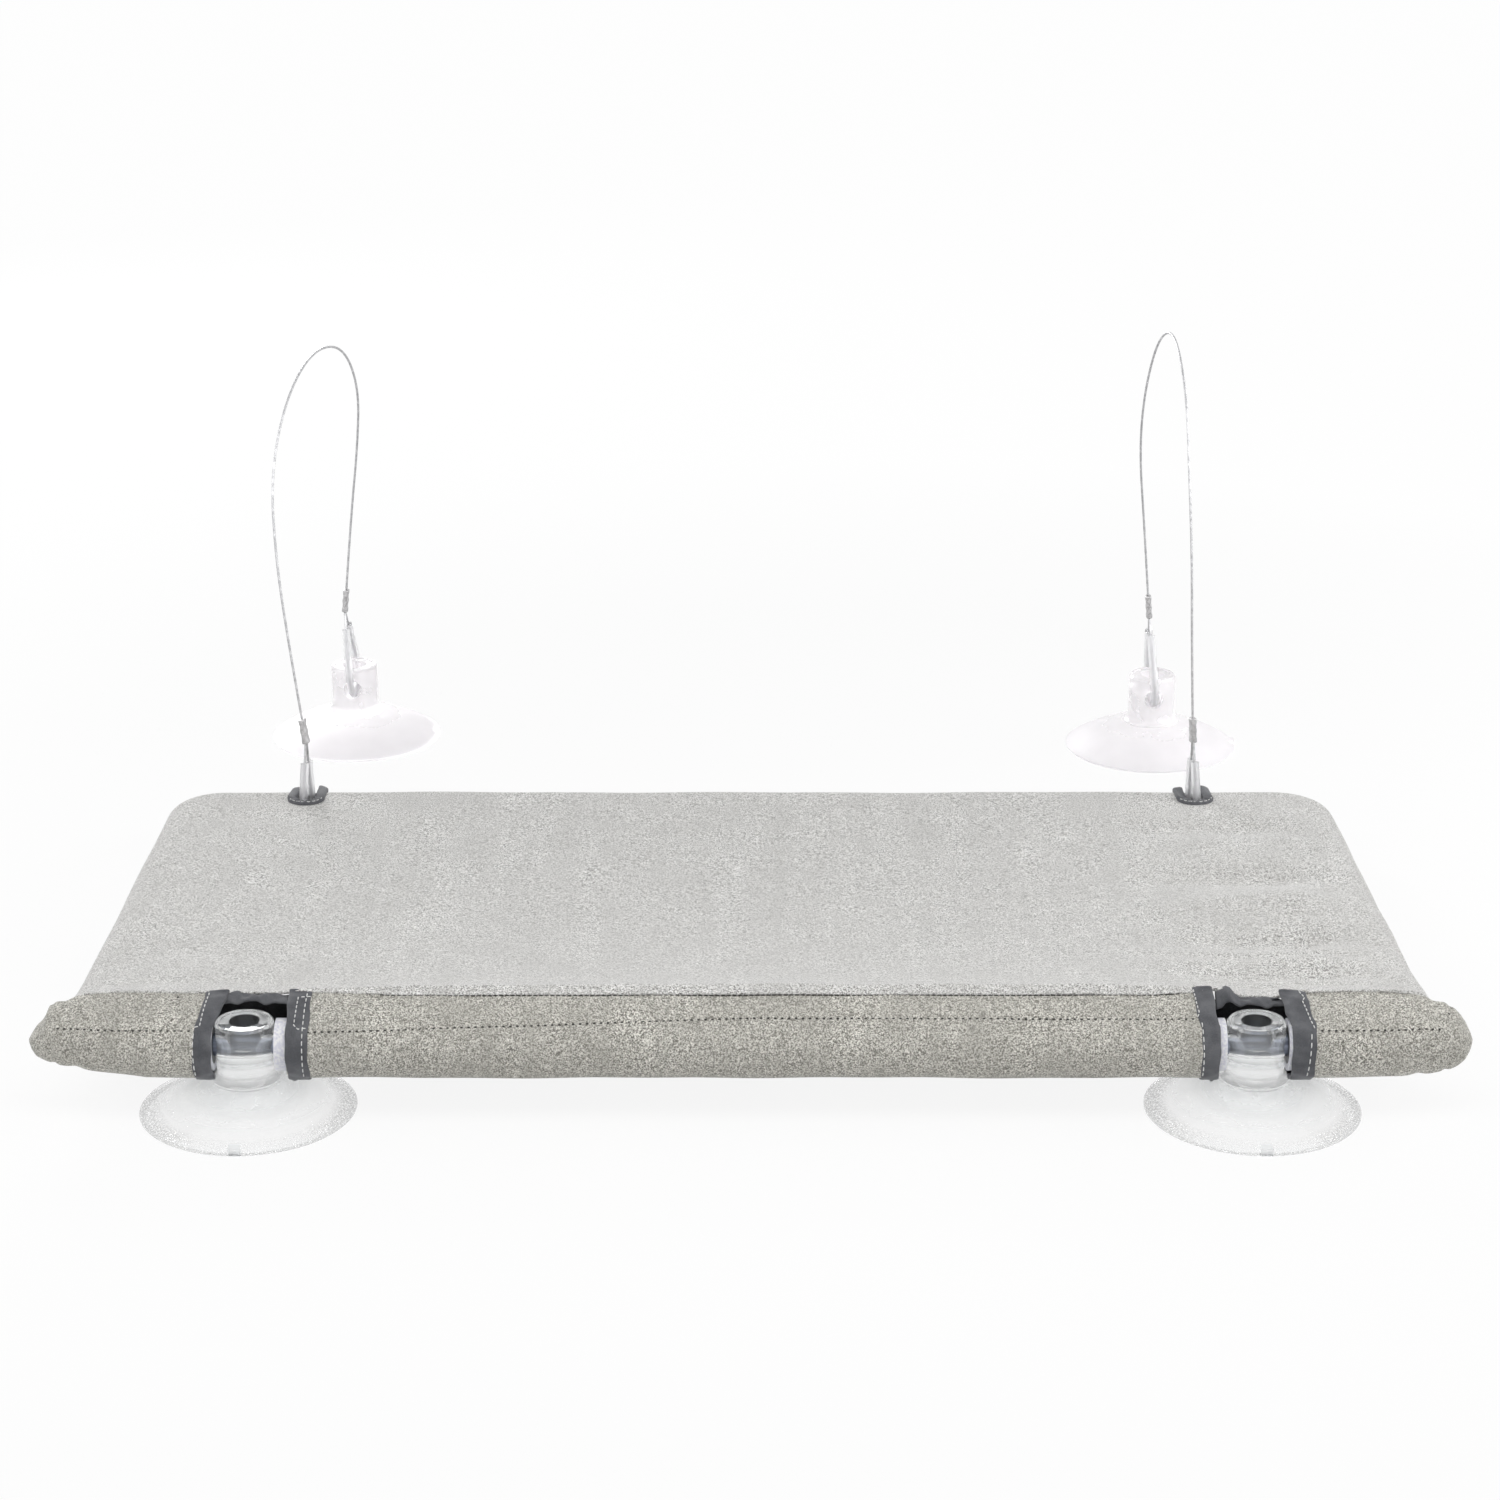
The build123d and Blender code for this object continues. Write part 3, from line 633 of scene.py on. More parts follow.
def stitches(name, surface, side, path, pitch, length, radius, lift):
    """Thread stitches along a path on a surface: each is a capsule that arches from hole to hole.
    Its middle rises by lift times the sine of its share, and its radius is the root of one minus
    the eighth power of the way from its middle."""
    knots = np.linspace(0, len(path) - 1, knots_per_point * len(path))
    first, second = (np.interp(knots, np.arange(len(path)), column) for column in np.transpose(path))
    points = surface(first, second)
    along = np.concatenate(((0,), np.cumsum(np.linalg.norm(np.diff(points, axis=0), axis=1))))
    share = np.linspace(0, 1, stitch_rings)
    places = np.arange(0, along[-1] - length * last_stitch_share, pitch)[:, None] + share * length
    first, second = (np.interp(places, along, column) for column in (first, second))
    out = outward(surface, first, second, side)
    middle = surface(first, second) + out * (lift * np.sin(pi * share))[None, :, None]
    forward = np.broadcast_to(unit(middle[:, -1:] - middle[:, :1]), middle.shape)
    across = unit(np.cross(forward, out))
    thick = radius * np.sqrt(1 - np.abs((2 * share - 1) * stitch_end_share) ** 8)
    turn = np.linspace(0, 2 * pi, stitch_sides, endpoint=False)
    ring = np.cos(turn)[:, None] * out[..., None, :] + np.sin(turn)[:, None] * across[..., None, :]
    return skin(name, middle[..., None, :] + ring * thick[None, :, None, None], around=True, ends=True)


def thread(name, dark, light):
    """Twisted sewing thread, mottled between two colours."""
    material, shader, place = surface_of(name, {"Specular IOR Level": 0.3})
    twist = place.spots(2600.0, 2.0).between(0.35, 0.65)
    feed(shader, {
        "Base Color": twist.ramp((0.0, dark), (1.0, light)),
        "Roughness": twist * 0.2 + 0.6,
        "Normal": bump(twist, 0.5, 0.0001),
    })
    return material


dark_thread = thread("dark_thread", (0.03, 0.029, 0.026), (0.09, 0.088, 0.08))
white_thread = thread("white_thread", (0.6, 0.6, 0.59), (0.85, 0.85, 0.84))
stitch_line_end = 0.279
stitch_line_points = 40
for name, (start, end, count) in sleeve_parts.items():
    x = np.linspace(max(start, -stitch_line_end), min(end, stitch_line_end), stitch_line_points)
    path = np.column_stack((x, np.interp(x, stitch_line_places, stitch_line_arounds)))
    sizes = {"pitch": 0.0028, "length": 0.0011, "radius": 0.00037, "lift": 0.0}
    row = stitches(f"{name}_stitches", band, -1, path, **sizes)
    dress(row, dark_thread, "perch", "band_cloth")


# The lying surface: one sheet of the paler felt. It is rolled over the crease and sewn to the band,
# sags between the rails, and wraps round the two side rails and the outer rail to a hem underneath.
pipe_radius = 0.01065
side_rail_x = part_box("side_tube_right")[1].x - pipe_radius
corner_bend = 0.015
outer_y = rail_middle["outer"][1]
outer_z = 0.0135
outer_radius = 0.0131
corner_x = side_rail_x - corner_bend
corner_y = outer_y - corner_bend
crease_y = rail_y + crease_forward
panel_dip = 0.0095
dip_power = 1.1
dip_skew = 0.85
rise_reach_middle = 0.078
rise_reach_side = 0.032
panel_thickness = 0.0014
edge_raised = 0.0009
wrap_end = radians(212)
ridge_places = (
    -0.223, -0.217, -0.212, -0.192, -0.187, -0.182, 0.183, 0.189, 0.194, 0.198, 0.213, 0.218, 0.223,
)
ridge_drops = (0.0, 0.0008, 0.0012, 0.0012, 0.0008, 0.0, 0.0, 0.0005, 0.0, 0.0030, 0.0030, 0.0012, 0.0)
overlap_places = (-0.262, -0.223, -0.216, -0.188, -0.180, -0.141, 0.162, 0.180, 0.188, 0.216, 0.223, 0.262)
overlaps = (0.0, 0.0010, 0.0003, 0.0003, 0.0012, 0.0042, 0.0042, 0.0026, 0.0003, 0.0003, 0.0010, 0.0)
crease_arc = 0.0008
overlap_straight = 0.0158
around_per_length = (band_spans[2] - band_spans[1]) / overlap_straight
right_folds_start = 0.155
right_folds = (
    (-0.047, -0.0076, 0.013), (-0.084, 0.0062, 0.013), (-0.130, -0.0088, 0.013), (-0.1545, -0.0034, 0.0045),
    (-0.166, 0.0034, 0.008), (-0.184, -0.0050, 0.007), (-0.199, -0.0026, 0.005), (0.018, -0.0042, 0.010),
)
left_folds_start = 0.19
left_folds = (
    (-0.060, -0.0022, 0.020), (-0.150, -0.0022, 0.016), (-0.195, -0.0018, 0.007), (0.035, -0.0020, 0.010),
)
fold_bend = 0.016
fold_bend_start = 0.240
fold_bend_reach = 0.028
fold_bend_most = 1.4
rail_flattening = 0.87
flattening_start = 0.238
flattening_reach = 0.022


def panel_ridge(x):
    """The height of the lying surface along its crease, lower between the sides of each slot."""
    return crease_height(x) + edge_raised - np.interp(x, ridge_places, ridge_drops)


def around_before(overlap):
    """The place round the band at a length before its crease: the crease's arc, then the straight."""
    on_arc = band_spans[1] * np.minimum(overlap / crease_arc, 1)
    return on_arc + around_per_length * np.maximum(overlap - crease_arc, 0)


def rail_height(y):
    """Height of the side rails' middle line, straight from the window rail to the outer rail."""
    return rail_z + (outer_z - rail_z) * (y - rail_y) / (outer_y - rail_y)


def side_folds(x, y, folds, start):
    """Folds that run out to a side rail: bells along y, that bend back towards the window, grow from
    a start with the way, and are pulled flatter over the rail itself."""
    out = np.abs(x)
    way = np.clip((out - start) / (side_rail_x - start), 0, 1)
    over_rail = 1 - rail_flattening * np.clip((out - flattening_start) / flattening_reach, 0, 1)
    bent = y + fold_bend * np.clip((out - fold_bend_start) / fold_bend_reach, 0, fold_bend_most) ** 2
    bells = sum(height * np.exp(-(((bent - place) / width) ** 2)) for place, height, width in folds)
    return bells * way * over_rail


def lying_surface(across, along):
    """The sheet's upper face by place on the flat cloth, across from the middle and along from the window.
    Inside the rails it is a height over the plan: the rails' top line, less a dip that is greatest
    in the middle, plus a rise to the crease that dies away, plus the folds. Past a rail's top it
    follows a circle about the rail, and round a corner the way out turns through a quarter circle.
    Before the crease it lies on the band's face."""
    out_x = np.maximum(np.abs(across) - corner_x, 0)
    out_y = np.maximum(along - corner_y, 0)
    out = np.maximum(out_x, out_y)
    turn = pi / 4 * np.minimum(out_x, out_y) / np.maximum(out, 1e-9)
    turn = np.where(out_y > out_x, pi / 2 - turn, turn)
    inside = np.minimum(out, corner_bend)
    path_y = np.maximum(np.minimum(along, corner_y), crease_y) + inside * np.sin(turn)
    share_y = np.clip((path_y - crease_y) / (outer_y - crease_y), 0, 1)
    radius = cover_radius + (outer_radius - cover_radius) * share_y
    wrap = (out - inside) / radius
    radial = inside + radius * np.sin(wrap)
    x = np.minimum(np.abs(across), corner_x) + radial * np.cos(turn)
    y = np.minimum(along, corner_y) + radial * np.sin(turn)
    share_x = np.minimum(x / side_rail_x, 1)
    dip = panel_dip * (1 - share_x ** 2) ** dip_power * np.sin(pi * share_y ** dip_skew) ** dip_power
    side_x = np.sign(across) * x
    lift = panel_ridge(side_x) - rail_height(crease_y) - cover_radius
    rise_reach = rise_reach_middle + (rise_reach_side - rise_reach_middle) * share_x ** 2
    lift = lift * np.exp(-(path_y - crease_y) / rise_reach) * (1 - share_y)
    right = side_folds(x, path_y, right_folds, right_folds_start)
    left = side_folds(x, path_y, left_folds, left_folds_start)
    folds = np.where(across > 0, right, left)
    upper = np.clip((1 + np.cos(wrap)) / 2, 0, 1)
    z = rail_height(path_y) + radius * np.cos(wrap) - dip + (lift + folds) * upper
    over_band = band(side_x, around_before(np.maximum(crease_y - along, 0)), edge_raised)
    over_band[..., 2] = over_band[..., 2] - np.interp(side_x, ridge_places, ridge_drops)
    return np.where((along < crease_y)[..., None], over_band, np.stack((side_x, y, z), -1))


notch_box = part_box("notch_binding_right")
notch_shift = 0.0008
notch_near_reach = 0.0125
notch_far_reach = 0.0105
notch_middle_x = (notch_box[0].x + notch_box[1].x) / 2 - notch_shift
notch_half_width = 0.005
notch_sides = (notch_middle_x - notch_half_width, notch_middle_x + notch_half_width)
notch_near = outer_y - notch_near_reach
notch_far = outer_y + outer_radius * np.arcsin(notch_far_reach / outer_radius)
edge_across = side_rail_x + cover_radius * wrap_end
edge_along = outer_y + outer_radius * wrap_end
calm_middle_x = 0.150
rise_rows_length = 0.03
calm_start_y = crease_y + rise_rows_length
steps_across = (
    (0.0, calm_middle_x, 50), (calm_middle_x, notch_sides[0], 34), (*notch_sides, 6),
    (notch_sides[1], corner_x, 20), (corner_x, side_rail_x, 10), (side_rail_x, edge_across, 26),
)
steps_along = (
    (crease_y, calm_start_y, 16), (calm_start_y, corner_y, 110), (corner_y, notch_near, 2),
    (notch_near, outer_y, 8), (outer_y, notch_far, 8), (notch_far, edge_along, 20),
)
overlap_row_count = 8
slower_waves = 0.7


def spaced(steps):
    """Places in runs of a start, an end and a count, up to the last end."""
    runs = [np.linspace(start, end, count, endpoint=False) for start, end, count in steps]
    return np.append(np.concatenate(runs), steps[-1][1])


half = spaced(steps_across)
across = np.concatenate((-half[:0:-1], half))
along = spaced(steps_along)
overlap_share = np.linspace(1, 0, overlap_row_count, endpoint=False)[:, None]
overlap_rows = crease_y - overlap_share * np.interp(across, overlap_places, overlaps)
along_rows = np.concatenate((overlap_rows, np.repeat(along[:, None], len(across), 1)))
across_rows = np.broadcast_to(across, along_rows.shape)
out = outward(lying_surface, across_rows, along_rows, 1)
top = lying_surface(across_rows, along_rows)
top = top + out * hung_cloth(top * slower_waves)[..., None]
under = top - out * panel_thickness

rows, columns = top.shape[:2]
row, column = np.mgrid[0:rows - 1, 0:columns - 1]
middle_across = (across_rows[:-1, :-1] + across_rows[1:, 1:]) / 2
middle_along = (along_rows[:-1, :-1] + along_rows[1:, 1:]) / 2
in_notch = (np.abs(np.abs(middle_across) - notch_middle_x) < notch_half_width) & (middle_along > notch_near)
in_notch = in_notch & (middle_along < notch_far)
corners = (row * columns + column, row * columns + column + 1, (row + 1) * columns + column + 1)
quads = np.stack((*corners, (row + 1) * columns + column), -1)[~in_notch]
edges = np.concatenate([quads[:, (corner, (corner + 1) % 4)] for corner in range(4)])
ends_of_edges = np.sort(edges, axis=1) @ np.array((rows * columns, 1))
_, first, uses = np.unique(ends_of_edges, return_index=True, return_counts=True)
border = edges[first[uses == 1]]
walls = np.column_stack((border[:, ::-1], border + rows * columns))
mesh = bpy.data.meshes.new("lying_surface")
both_sides = np.concatenate((top.reshape(-1, 3), under.reshape(-1, 3)))
faces = np.concatenate((quads, quads[:, ::-1] + rows * columns, walls))
mesh.from_pydata(both_sides.tolist(), [], faces.tolist())
mesh.polygons.foreach_set("use_smooth", [True] * len(mesh.polygons))
mesh.update()
surface = bpy.data.objects.new("lying_surface", mesh)
bpy.context.scene.collection.objects.link(surface)
cloths = ("top_panel", "side_hem_left", "side_hem_right", "outer_sleeve")
dress(surface, panel_felt, "perch", "panel_cloth", *cloths)
edge_along - crease_y + 0.004


# The lying surface's seam on the band: dark lock stitches just below its edge, set close so that they
# also paint the thin shadow under that edge. Two needle marks and one loose end of thread lie on the band
# beside it.
seam_ends = (-0.150, 0.174)
seam_points = 60
seam_below_edge = 0.0002
loose_ends = {
    "needle_mark_left": (0.0011, ((-0.2322, 0.062), (-0.2312, 0.055))),
    "needle_mark_right": (0.0011, ((0.2816, 0.120), (0.2822, 0.128))),
    "loose_thread_right": (0.006, ((0.1648, 0.062), (0.1676, 0.058), (0.1712, 0.064))),
}
seam_x = np.linspace(*seam_ends, seam_points)
seam_around = around_before(np.interp(seam_x, overlap_places, overlaps) + seam_below_edge)
sizes = {"pitch": 0.0023, "length": 0.0019, "radius": 0.0003, "lift": 0.0001}
row = stitches("edge_seam", band, -1, np.column_stack((seam_x, seam_around)), **sizes)
dress(row, dark_thread, "perch", "panel_cloth")
for name, (length, path) in loose_ends.items():
    mark = stitches(name, band, -1, path, pitch=0.01, length=length, radius=0.0004, lift=0.0002)
    dress(mark, dark_thread, "perch", "band_cloth")


# Grey woven tape, folded over the cut edges of the slots and sewn through. It starts on the crease,
# runs down over the rail and ends underneath in a short tail at its inner edge.
tape, tape_shader, place = surface_of("grey_woven_tape", {"Specular IOR Level": 0.25, "Sheen Weight": 0.15})
weave = place.spots(2100.0, 2.0)
rubbed = place.spots(130.0, 3.0).between(0.35, 0.7)
mottle = weave * 0.5 + rubbed * 0.5
feed(tape_shader, {
    "Base Color": mottle.ramp((0.2, (0.07, 0.072, 0.08)), (0.8, (0.145, 0.148, 0.158))),
    "Roughness": rubbed * 0.2 + 0.65,
    "Normal": bump(weave * 0.6 + rubbed * 0.8, 0.5, 0.0004),
})
tape_raised = 0.0008
tape_sunk = 0.0017
tape_last = 0.66
tail_start = 0.555
tape_places = (0.0, 0.06, 0.15, 0.22, 0.45, tape_last)
tape_edges = {
    ("left", "outer"): ((-0.2113, -0.2118, -0.2143, -0.2163, -0.2163, -0.2163),
                        (-0.2206, -0.2208, -0.2222, -0.2234, -0.2240, -0.2240)),
    ("left", "inner"): ((-0.1871, -0.1869, -0.1868, -0.1868, -0.1864, -0.1862),
                        (-0.1776, -0.1776, -0.1775, -0.1776, -0.1775, -0.1773)),
    ("right", "inner"): ((0.1871, 0.1872, 0.1878, 0.1885, 0.1886, 0.1884),
                         (0.1786, 0.1790, 0.1800, 0.1809, 0.1813, 0.1814)),
    ("right", "outer"): ((0.2142, 0.2146, 0.2160, 0.2175, 0.2174, 0.2172),
                         (0.2250, 0.2252, 0.2262, 0.2272, 0.2268, 0.2262)),
}
tail_lengths = {
    ("left", "outer"): 0.0042,
    ("left", "inner"): 0.0038,
    ("right", "inner"): 0.0056,
    ("right", "outer"): 0.0048,
}
tail_reach = 0.035
tape_first = -0.01
tape_rings = 150
tape_sides = 40
tape_side_power = 0.35
tape_face_power = 0.6
tape_wander = 0.00035
tape_pucker = 0.00025
tape_end_reach = 0.012
tape_end_size = 0.75

# A tape is a flat superellipse carried round the band. Its edges are straight between chosen places,
# products of two sines make it wander and pucker, and its last part grows into the tail.
for (side, edge_name), edges in tape_edges.items():
    share = np.linspace(0, 1, tape_rings)
    turn = np.linspace(0, 2 * pi, tape_sides, endpoint=False)
    around, turn = np.meshgrid(tape_first + share * (tape_last - tape_first), turn, indexing="ij")
    slot_edge, band_edge = (np.interp(around, tape_places, row) for row in edges)
    wide = rounded(np.cos(turn), tape_side_power)
    thick = rounded(np.sin(turn), tape_face_power)
    x = (slot_edge + band_edge) / 2 + (slot_edge - band_edge) / 2 * wide
    x = x + tape_wander * np.sin(around * 34 + slot_edge * 900) * np.sin(around * 11)
    puckers = tape_pucker * np.sin(around * 95 + 1.0) * np.sin(wide * 2 + around * 20)
    growth = np.where(thick > 0, tape_raised, tape_sunk) * thick + puckers
    tail = np.clip((around - tail_start) / tail_reach, 0, 1) ** 2 * np.clip(wide * 1.4, 0, 1) ** 1.5
    growth = growth + tail_lengths[side, edge_name] * tail
    points = band(x, np.clip(around, 0, 1), growth)
    closing = np.clip(np.minimum(share, 1 - share) / tape_end_reach, 0, 1) ** 0.5
    middle = points.mean(1, keepdims=True)
    points = middle + (points - middle) * (tape_end_size + (1 - tape_end_size) * closing)[:, None, None]
    piece = skin(f"slot_tape_{edge_name}_{side}_folded", points, around=True, ends=True)
    dress(piece, tape, "perch", "binding_tape", f"slot_tape_{edge_name}_{side}")


# The folded strip at the back of each slot, where the tape's end gathers on the lying surface's edge,
# and behind it a near black curtain of painted shade that hangs down behind the cup.
strip_thickness = 0.0011
strip_heights = {
    "left": (
        (-0.2150, -0.2080, -0.2000, -0.1960, -0.1873),
        (0.0452, 0.0462, 0.0447, 0.0454, 0.0447),
        (0.0434, 0.0438, 0.0446, 0.0440, 0.0433),
    ),
    "right": (
        (0.1885, 0.1910, 0.1926, 0.1942, 0.1962, 0.1984, 0.2046, 0.2096, 0.2160),
        (0.0470, 0.0480, 0.0492, 0.0484, 0.0452, 0.0437, 0.0438, 0.0434, 0.0430),
        (0.0412, 0.0418, 0.0436, 0.0440, 0.0434, 0.0427, 0.0428, 0.0426, 0.0424),
    ),
}
strip_back = 0.0128
strip_back_wave = 0.0004
strip_front = 0.0071
strip_front_wave = 0.0009
strip_rings = 90
strip_sides = 36
strip_edge_power = 0.8
strip_waves = ((0.0004, 420, 2.2), (0.0002, 1100, -3))
shade_curtain_radius = 0.0173
shade_curtain_thickness = 0.0004
shade_curtain_overhang = 0.001
shade_curtain_angles = (56, -12)
shade_curtain_rings = 60
shade_curtain_rows = 40
shade_curtain_billow = 0.0004
shade_curtain_stand_off = 0.0005

# A strip is a flat superellipse carried along its slot, leaning from a back edge to a front edge, with
# two sines over its faces. The painted shade curtain is two skins on an arc about the rail, billowed by one
# sine.
for side, (places, tops, bottoms) in strip_heights.items():
    x = np.linspace(places[0], places[-1], strip_rings)
    turn = np.linspace(0, 2 * pi, strip_sides, endpoint=False)
    high, low = (np.interp(x, places, row) for row in (tops, bottoms))
    back = np.stack((strip_back + strip_back_wave * np.sin(x * 900), high), -1)
    front = np.stack((strip_front + strip_front_wave * np.sin(x * 620 + 1), low), -1)
    slope = unit(front - back)
    out_of = np.stack((slope[:, 1], -slope[:, 0]), -1)
    middle = (back + front) / 2
    half_height = np.linalg.norm(front - back, axis=1) / 2
    wide = rounded(np.cos(turn), strip_edge_power)
    wave = sum(depth * np.sin(x[:, None] * rate + wide * slant) for depth, rate, slant in strip_waves)
    thick = strip_thickness * np.sin(turn) + wave
    flat = middle[:, None] + slope[:, None] * (half_height[:, None] * wide)[..., None]
    flat = flat - out_of[:, None] * thick[..., None]
    grid = np.stack((np.repeat(x[:, None], len(turn), 1), rail_y + flat[..., 0], flat[..., 1]), -1)
    piece = skin(f"slot_strip_{side}_gathered", grid, around=True, ends=True)
    dress(piece, tape, "perch", "binding_tape", f"slot_strip_{side}")

    sign = -1 if side == "left" else 1
    x = np.linspace(slot_inner_x - shade_curtain_overhang, slot_outer_x + shade_curtain_overhang, shade_curtain_rings) * sign
    x, angle = np.meshgrid(x, np.linspace(*np.radians(shade_curtain_angles), shade_curtain_rows), indexing="ij")
    billow = shade_curtain_billow * np.sin(x * 700 + angle * 3) + shade_curtain_stand_off
    walls = []
    for radius in (shade_curtain_radius + billow, shade_curtain_radius + shade_curtain_thickness + billow):
        walls.append(np.stack((x, rail_y + radius * np.cos(angle), rail_z + radius * np.sin(angle)), -1))
    curtain = np.concatenate((walls[0], walls[1][:, ::-1]), 1)
    piece = skin(f"slot_shade_curtain_{side}", curtain if side == "left" else curtain[::-1], around=True, ends=True)
    dress(piece, painted_shade, "perch", "binding_tape")


# White lock stitches on the slot tapes: a box at the top of each, and a long row beside it.
# Each path lists places on the band, by place along the perch and by height.
front_end = 0.58
front_steps = 500
thread_rise = 0.00005
white_length_share = 0.68


def around_at(x, height):
    """The place round the band's front at which it has a height."""
    arounds = np.linspace(0.0, front_end, front_steps)
    heights = band(np.full_like(arounds, x), arounds)[:, 2]
    return np.interp(-height, -heights, arounds)


white_rows = {
    "left_inner_box": (0.0024, ((-0.1777, 0.0458), (-0.1828, 0.0456), (-0.1834, 0.0393), (-0.1816, 0.0383),
                                (-0.1778, 0.0386))),
    "left_inner_row": (0.0030, ((-0.1792, 0.0470), (-0.1797, 0.0430), (-0.1798, 0.0340), (-0.1797, 0.0200))),
    "left_outer_box": (0.0024, ((-0.2203, 0.0470), (-0.2192, 0.0460), (-0.2200, 0.0442), (-0.2208, 0.0410),
                                (-0.2211, 0.0391), (-0.2231, 0.0388))),
    "left_outer_row": (0.0034, ((-0.2233, 0.0372), (-0.2236, 0.0320), (-0.2231, 0.0200))),
    "right_inner_box": (0.0022, ((0.1792, 0.0478), (0.1800, 0.0444), (0.1806, 0.0424), (0.1795, 0.0412))),
    "right_inner_row": (0.0032, ((0.1813, 0.0400), (0.1818, 0.0300), (0.1818, 0.0190))),
    "right_outer_box": (0.0022, ((0.2222, 0.0464), (0.2240, 0.0454), (0.2229, 0.0448), (0.2236, 0.0436),
                                 (0.2252, 0.0402), (0.2266, 0.0382))),
    "right_outer_row": (0.0034, ((0.2250, 0.0370), (0.2245, 0.0300), (0.2236, 0.0190))),
}


def raised_band(x, around):
    """The face of the tapes on the band."""
    return band(x, around, tape_raised + thread_rise)


for name, (pitch, path) in white_rows.items():
    places = [(x, around_at(x, height)) for x, height in path]
    sizes = {"pitch": pitch, "length": pitch * white_length_share, "radius": 0.00024, "lift": 0.00022}
    row = stitches(f"white_{name}", raised_band, -1, places, **sizes)
    dress(row, white_thread, "perch", "binding_tape")


# Bound notches in the outer edge, where the cables' wire eyes hold the outer rail: the same grey tape
# folded round each cut, puckered where it turns, with white stitches near its outer edge.
binding_reach = 0.0039
binding_inside = 0.0008
binding_raised = 0.0014
binding_sunk = 0.0017
binding_pucker = 0.0005
binding_gathers = ((0.35, 0.45, 0.0024), (2.8, 0.4, 0.0020))
binding_columns = 32
turn_steps = 40
notch_stitch_line = 0.0030
notch_stitch_rise = 0.0015
notch_stitch_gap = 0.1
notch_stitch_points = 12
notch_centres = (notch_near + notch_half_width, notch_far - notch_half_width)


def round_notch(side):
    """A surface on the sheet by turn round a notch's outline and by distance outside it."""
    def at(turn, beyond):
        reach = notch_half_width + beyond
        middle = np.where(np.sin(turn) > 0, notch_centres[1], notch_centres[0])
        across = side * notch_middle_x + np.cos(turn) * reach
        return across, middle + np.sin(turn) * reach
    return at


# A binding is a rounded oblong carried round its notch, with fine puckers of two sines and a bell for
# each place where the tape gathers.
for side, sign in (("left", -1), ("right", 1)):
    outline = round_notch(sign)

    def over_sheet(turn, beyond, rise=notch_stitch_rise):
        """The sheet's face at a turn and a distance round this notch, raised along its normal."""
        across, along = outline(turn, beyond)
        return lying_surface(across, along) + outward(lying_surface, across, along, 1) * rise

    half_turn = np.linspace(0, pi, turn_steps)[1:-1]
    turn = np.concatenate((half_turn, half_turn + pi))
    tube = np.linspace(0, 2 * pi, binding_columns, endpoint=False)
    beyond = (binding_reach + binding_inside) / 2 * rounded(np.cos(tube), 0.5)
    beyond = beyond + (binding_reach - binding_inside) / 2
    height = np.where(np.sin(tube) > 0, binding_raised, binding_sunk) * rounded(np.sin(tube), 0.7)
    turns, beyonds = np.meshgrid(turn, beyond, indexing="ij")
    pucker = binding_pucker * np.sin(turns * 9 + beyonds * 900) * np.sin(turns * 4 + 1)
    gathers = sum(rise * np.exp(-(((turns - at) / width) ** 2)) for at, width, rise in binding_gathers)
    ring = over_sheet(turns, beyonds, (height + pucker + gathers)[..., None])
    piece = skin(f"notch_binding_{side}_sewn", ring, around=True, looped=True)
    dress(piece, tape, "perch", "binding_tape", f"notch_binding_{side}")
    stitch_turns = np.linspace(pi + notch_stitch_gap, 2 * pi - notch_stitch_gap, notch_stitch_points)
    path = [(angle, notch_stitch_line) for angle in stitch_turns]
    sizes = {"pitch": 0.0026, "length": 0.0017, "radius": 0.00022, "lift": 0.0002}
    row = stitches(f"white_notch_{side}", over_sheet, 1, path, **sizes)
    dress(row, white_thread, "perch", "binding_tape")


# Suction cups: one clear soft moulding each, a thick hub with a crossed pair of holes on a thin dome.
# They are the construction's own solids. The vinyl is clear in the hub and slightly frosted on the
# dome, with a pebbled ring near the rim, and shade is painted dark inside the lower cups' upright holes.
dome_heights = (0.0060, 0.0120)
rim_heights = (0.0008, 0.0030)
tab_starts = (-0.0400, -0.0393)
tab_half_widths_squared = (5.8e-6, 6.8e-6)
hole_radii = (0.0061, 0.0066)
hole_heights = (0.020, 0.022)
waist_sharpness = 300.0
waist_lightness = 0.7
pebble_share = 0.4
pebble_tint = (0.8, 0.8, 0.815)
hole_shade_colour = (0.012, 0.012, 0.016)
shadow_passing = 0.92
cup_looks = {
    "lower": {
        "clearness": 0.9,
        "hole_shade": 1.0,
        "frost": 0.12,
        "haze": 0.16,
        "thin": 0.93,
        "tints": ((0.82, 0.835, 0.84), (0.89, 0.905, 0.905)),
    },
    "upper": {
        "clearness": 0.36,
        "hole_shade": 0.0,
        "frost": 0.2,
        "haze": 0.22,
        "thin": 0.0,
        "tints": ((0.89, 0.875, 0.89), (0.93, 0.915, 0.93)),
    },
}


